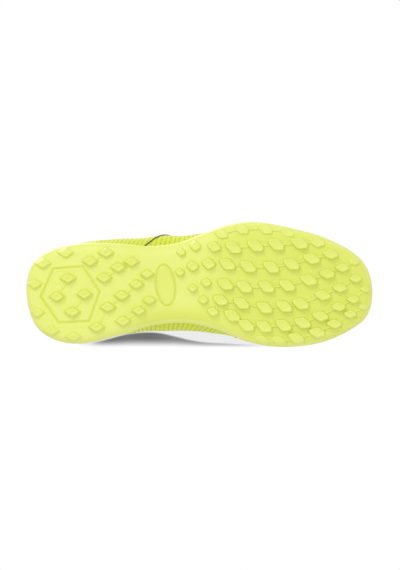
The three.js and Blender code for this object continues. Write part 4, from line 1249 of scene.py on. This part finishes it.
rows.append(skin(q, 0.975 + 0 * q, 0.35 + 0 * q))
rows.append(skin(q, 0.955 + 0 * q, 0.05 + 0 * q))
grid = np.stack(rows, 1)
collar = new_object("collar_padding", grid, grid_faces(*grid.shape[:2]), arc_uv(grid),
                    slot="lining_cloth", finish=lining_knit)
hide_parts("collar_foam")
print("collar", [round(v * 1000) for v in collar.dimensions], "mm")

# %% [markdown]
# ### Tongue
# The tongue is two layers of knit over thin foam, quilted by two lines of stitching
# and bound all round with tape. It hinges where it is sewn in under the throat.

# %% Tongue surface
TONGUE, TONGUE_LOW, TONGUE_HIGH, TONGUE_DROP = 4.4, 0.352, 0.64, 8.2


def tongue_point(u, s):
    """Top face of the tongue: u from the throat (0) to the tip (1.31), s across."""
    u, s = np.broadcast_arrays(np.asarray(u, float), np.asarray(s, float))
    k = TONGUE_LOW + (TONGUE_HIGH - TONGUE_LOW) * np.minimum(u, 1)
    over = np.maximum(0, u - 1)
    low_reach = np.where(k < 0.4, 0.9, 0.845)
    t = low_reach + (0.845 - low_reach) * smooth(k, 0.36, 0.42)
    a, b = skin(k, t, -TONGUE_DROP + 0 * k), skin(2 - k, t, -TONGUE_DROP + 0 * k)
    crown = (top_point(k) + top_point(2 - k)) / 2 - [0, 0, 7.4]
    pull = np.stack([-29 + 0 * over, 0 * over, 18 - 6 * over], -1) * (over * 3)[..., None]
    narrow = (1 - 0.28 * smooth(over, 0.1, 0.3) - 0.3 * smooth(over, 0.22, 0.32))[..., None]
    w = (2 * s - 1)[..., None]
    mid = (a + b) / 2
    return a + (b - a) * (0.5 + w * 0.5 * narrow) + (crown - mid) * (1 - w * w) + pull


def tongue_normal(u, s):
    du = tongue_point(u + 0.01, s) - tongue_point(u - 0.01, s)
    ds = tongue_point(u, s + 0.01) - tongue_point(u, s - 0.01)
    n = unit(np.cross(du, ds))
    return np.where(n[..., 2:] < 0, -n, n)


u = np.linspace(0, 1.31, 110)[:, None]
s = np.linspace(0, 1, 46)[None, :]
point, normal = tongue_point(u, s), tongue_normal(u, s)
thin = (0.45 + 0.55 * smooth(np.minimum(s, 1 - s), 0, 0.16) * smooth(1.33 - u, 0, 0.12)) * (
    0.5 + 0.5 * smooth(u, 0.02, 0.25))
quilt = np.exp(-((s - 0.3) / 0.02) ** 2) + np.exp(-((s - 0.7) / 0.02) ** 2)
puff = 0.7 * (1 - quilt) * smooth(np.minimum(s, 1 - s), 0, 0.12)
puff = puff * smooth(u, 0.1, 0.3) * smooth(1.31 - u, 0, 0.1)
crown_rise = 3.0 * np.sin(np.pi * s) ** 0.8 * smooth(u, 0.08, 0.3) * smooth(1.25 - u, 0, 0.3)
top_face = point + normal * (puff + crown_rise - 0.25)[..., None]
under_face = point - normal * (TONGUE * thin + 0.2 * puff)[..., None]
tongue = shell("tongue_padding", top_face, under_face, arc_uv(top_face), body="tongue", slot="mesh",
               finish=tongue_knit)
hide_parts("tongue")
border_u = np.concatenate([np.linspace(0.5, 1.3, 70), np.full(30, 1.305), np.linspace(1.3, 0.5, 70)])
border_s = np.concatenate([np.full(70, 0.006), np.linspace(0.01, 0.99, 30), np.full(70, 0.994)])
border = tongue_point(border_u, border_s) - tongue_normal(border_u, border_s) * 1.1
tube("tongue_binding", border, 1.15, 10, body="tongue", finish=binding)
across_u, across_s = np.meshgrid([0.69, 0.7, 0.73, 0.76, 0.77], np.linspace(0.36, 0.64, 24), indexing="ij")
strip = tongue_point(across_u, across_s)
away = np.array([0.5, 0, 0.86])
strip = strip + away * 2.6
keeper = shell("tongue_keeper_webbing", strip + away * 1.3, strip + away * 0.45, arc_uv(strip),
               body="tongue", slot="trim_webbing", finish=webbing)
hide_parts("tongue_loop")
print("tongue", [round(v * 1000) for v in tongue.dimensions], "mm")

# %% [markdown]
# ### Lace
# A flat braid runs straight across between the eyelet rows and climbs one step inside
# on alternate sides. It is laced in all the way, and its two tips are tucked inside.

# %% Lace
LACE_RADIUS = 1.5
LACE_OUT = GAP + EYESTAY + GAP + LACE_RADIUS + 0.2
LACE_IN = -(SKIN + LINING + GAP + GAP + LACE_RADIUS + 0.2)


def on_skin(q, t, d):
    return skin(np.array([q]), np.array([t]), np.array([d]))[0]


def bar(index, from_medial):
    def side_points(q):
        return [on_skin(q, EYELET_T, LACE_IN + 1.2), on_skin(q, EYELET_T, LACE_OUT - 0.8),
                on_skin(q, EYELET_T + 0.035, LACE_OUT + 0.4), on_skin(q, 0.985, LACE_OUT)]
    k = EYELETS[index]
    first, second = (2 - k, k) if from_medial else (k, 2 - k)
    a, b = side_points(first), side_points(second)[::-1]
    return a + [(a[3] + b[0]) / 2 + [0, 0, 1.6]] + b


def tail(q, back):
    return [on_skin(q + back * 1.4, 0.83, LACE_IN), on_skin(q + back, 0.86, LACE_IN)]


lace_points = tail(EYELETS[0], -0.013)
for index in range(5):
    lace_points += bar(index, index % 2 == 1)
    if index < 4:
        a, b = (2 - EYELETS[index], 2 - EYELETS[index + 1]) if index % 2 == 0 else EYELETS[index:index + 2]
        lace_points += [on_skin(a + (b - a) * s, EYELET_T, LACE_IN) for s in (0.22, 0.5, 0.78)]
lace_points += tail(2 - EYELETS[4], -0.013)[::-1]
LACE_STEPS = 620
lace_path = resample(lace_points, LACE_STEPS)
middle_line = np.stack([lace_path[:, 0], np.full(LACE_STEPS, CENTRE_Y), lace_path[:, 2] - 26], -1)
facing = unit(lace_path - middle_line)
LACE_HALF_WIDTH, LACE_FLATNESS = 3.1, 0.3
lace = tube("lace_braid", lace_path, LACE_HALF_WIDTH, 18, flat=LACE_FLATNESS, up=facing, slot="lace_cord",
            finish=lace_braid)
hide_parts("lace")
print("lace length in mm", round(float(run(lace_path)[-1])))

# %% [markdown]
# ### Insole and what carries a finish only
# The loose insole is moulded foam under brushed cloth, cupped at the heel. The pieces
# hidden in the shoe keep their CAD shape and get their own finishes.

# %% Insole
k = np.linspace(0, 1, 202)[1:-1]
s = np.linspace(0, 1, 61)[None, :]
insole_edge = wall_at(k) + insole_inset(k) + 0.6
edge_l, edge_m = inset(k, insole_edge, 0.0)[:, None, :2], inset(2 - k, insole_edge, 0.0)[:, None, :2]
plan = edge_l * (1 - s[..., None]) + edge_m * s[..., None]
from_side = np.minimum(s, 1 - s) * np.linalg.norm(edge_m - edge_l, axis=-1)
board_top = feather_height(plan[..., 0]) + BOARD
cupped = 1 - 0.3 * smooth(from_side, 4, 14) * smooth(plan[..., 0], -40, -90)
rounding = np.sqrt(np.clip(from_side / 1.8, 0, 1) * (2 - np.clip(from_side / 1.8, 0, 1)))
upper_z = board_top + GAP + SOCKLINER * (0.35 + 0.65 * rounding) * cupped
top_face = np.concatenate([plan, upper_z[..., None]], -1)
under_face = np.concatenate([plan, (board_top + GAP + 0.05)[..., None]], -1)
insole = shell("insole_foam", top_face, under_face, arc_uv(top_face), body="insole",
               slot="sockliner_cloth", finish=insole_cloth)
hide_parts("sockliner")
print("insole", [round(v * 1000) for v in insole.dimensions], "mm")

# %% Webbing loop at the heel
LOOP_X, LOOP_Z, LOOP_HIGH, LOOP_WIDE, LOOP_THICK, LOOP_BOW = -138.4, 80.0, 19.0, 11.0, 0.9, 2.6
bow = LOOP_BOW + LOOP_THICK / 2
a = np.concatenate([np.linspace(0, np.pi, 24), np.linspace(np.pi, 2 * np.pi, 24)])
loop_x = LOOP_X + bow * np.cos(a)
loop_z = LOOP_Z + np.where(np.arange(48) < 24, LOOP_HIGH - LOOP_BOW, LOOP_BOW) + bow * np.sin(a)
belt = np.stack([loop_x, np.full(48, CENTRE_Y), loop_z], -1)
belt = resample(np.concatenate([belt, belt[:1]]), 120)[:-1]
ahead = unit(np.roll(belt, -1, 0) - np.roll(belt, 1, 0))
outward_face = np.cross(ahead, [0, 1, 0])
half_w, half_t = LOOP_WIDE / 2, LOOP_THICK / 2
section = [(-1, 0.55), (-0.93, 1), (-0.5, 0.92), (0, 0.88), (0.5, 0.92), (0.93, 1), (1, 0.55), (1, -0.55),
           (0.93, -1), (0.5, -0.92), (0, -0.88), (-0.5, -0.92), (-0.93, -1), (-1, -0.55)]
points = np.stack([belt + np.array([0, 1, 0]) * w * half_w + outward_face * h * half_t
                   for w, h in section], 1)
n, m = points.shape[:2]
length = np.arange(n) * np.linalg.norm(belt[1] - belt[0])
cloth = np.stack(np.broadcast_arrays(length[:, None], np.array([w for w, _ in section])[None, :]), -1)
heel_tab = new_object("heel_loop_webbing", points, cord_faces(n, m, True), cloth, body="heel_loop",
                      slot="trim_webbing", finish=webbing)
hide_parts("pull_loop")
print("webbing loop", [round(v * 1000, 1) for v in heel_tab.dimensions], "mm")

# %% Finishes for the hidden pieces
for node, finish in (("midsole", foam), ("lasting_board", board), ("toe_puff", felt), ("heel_counter", felt),
                     ("vamp_lining", felt), ("aglet_lower", aglet_plastic), ("aglet_upper", aglet_plastic)):
    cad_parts[node].data.materials.clear()
    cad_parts[node].data.materials.append(finish)
left = [n for n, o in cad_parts.items() if not o.hide_render]
print("CAD nodes shown", left)
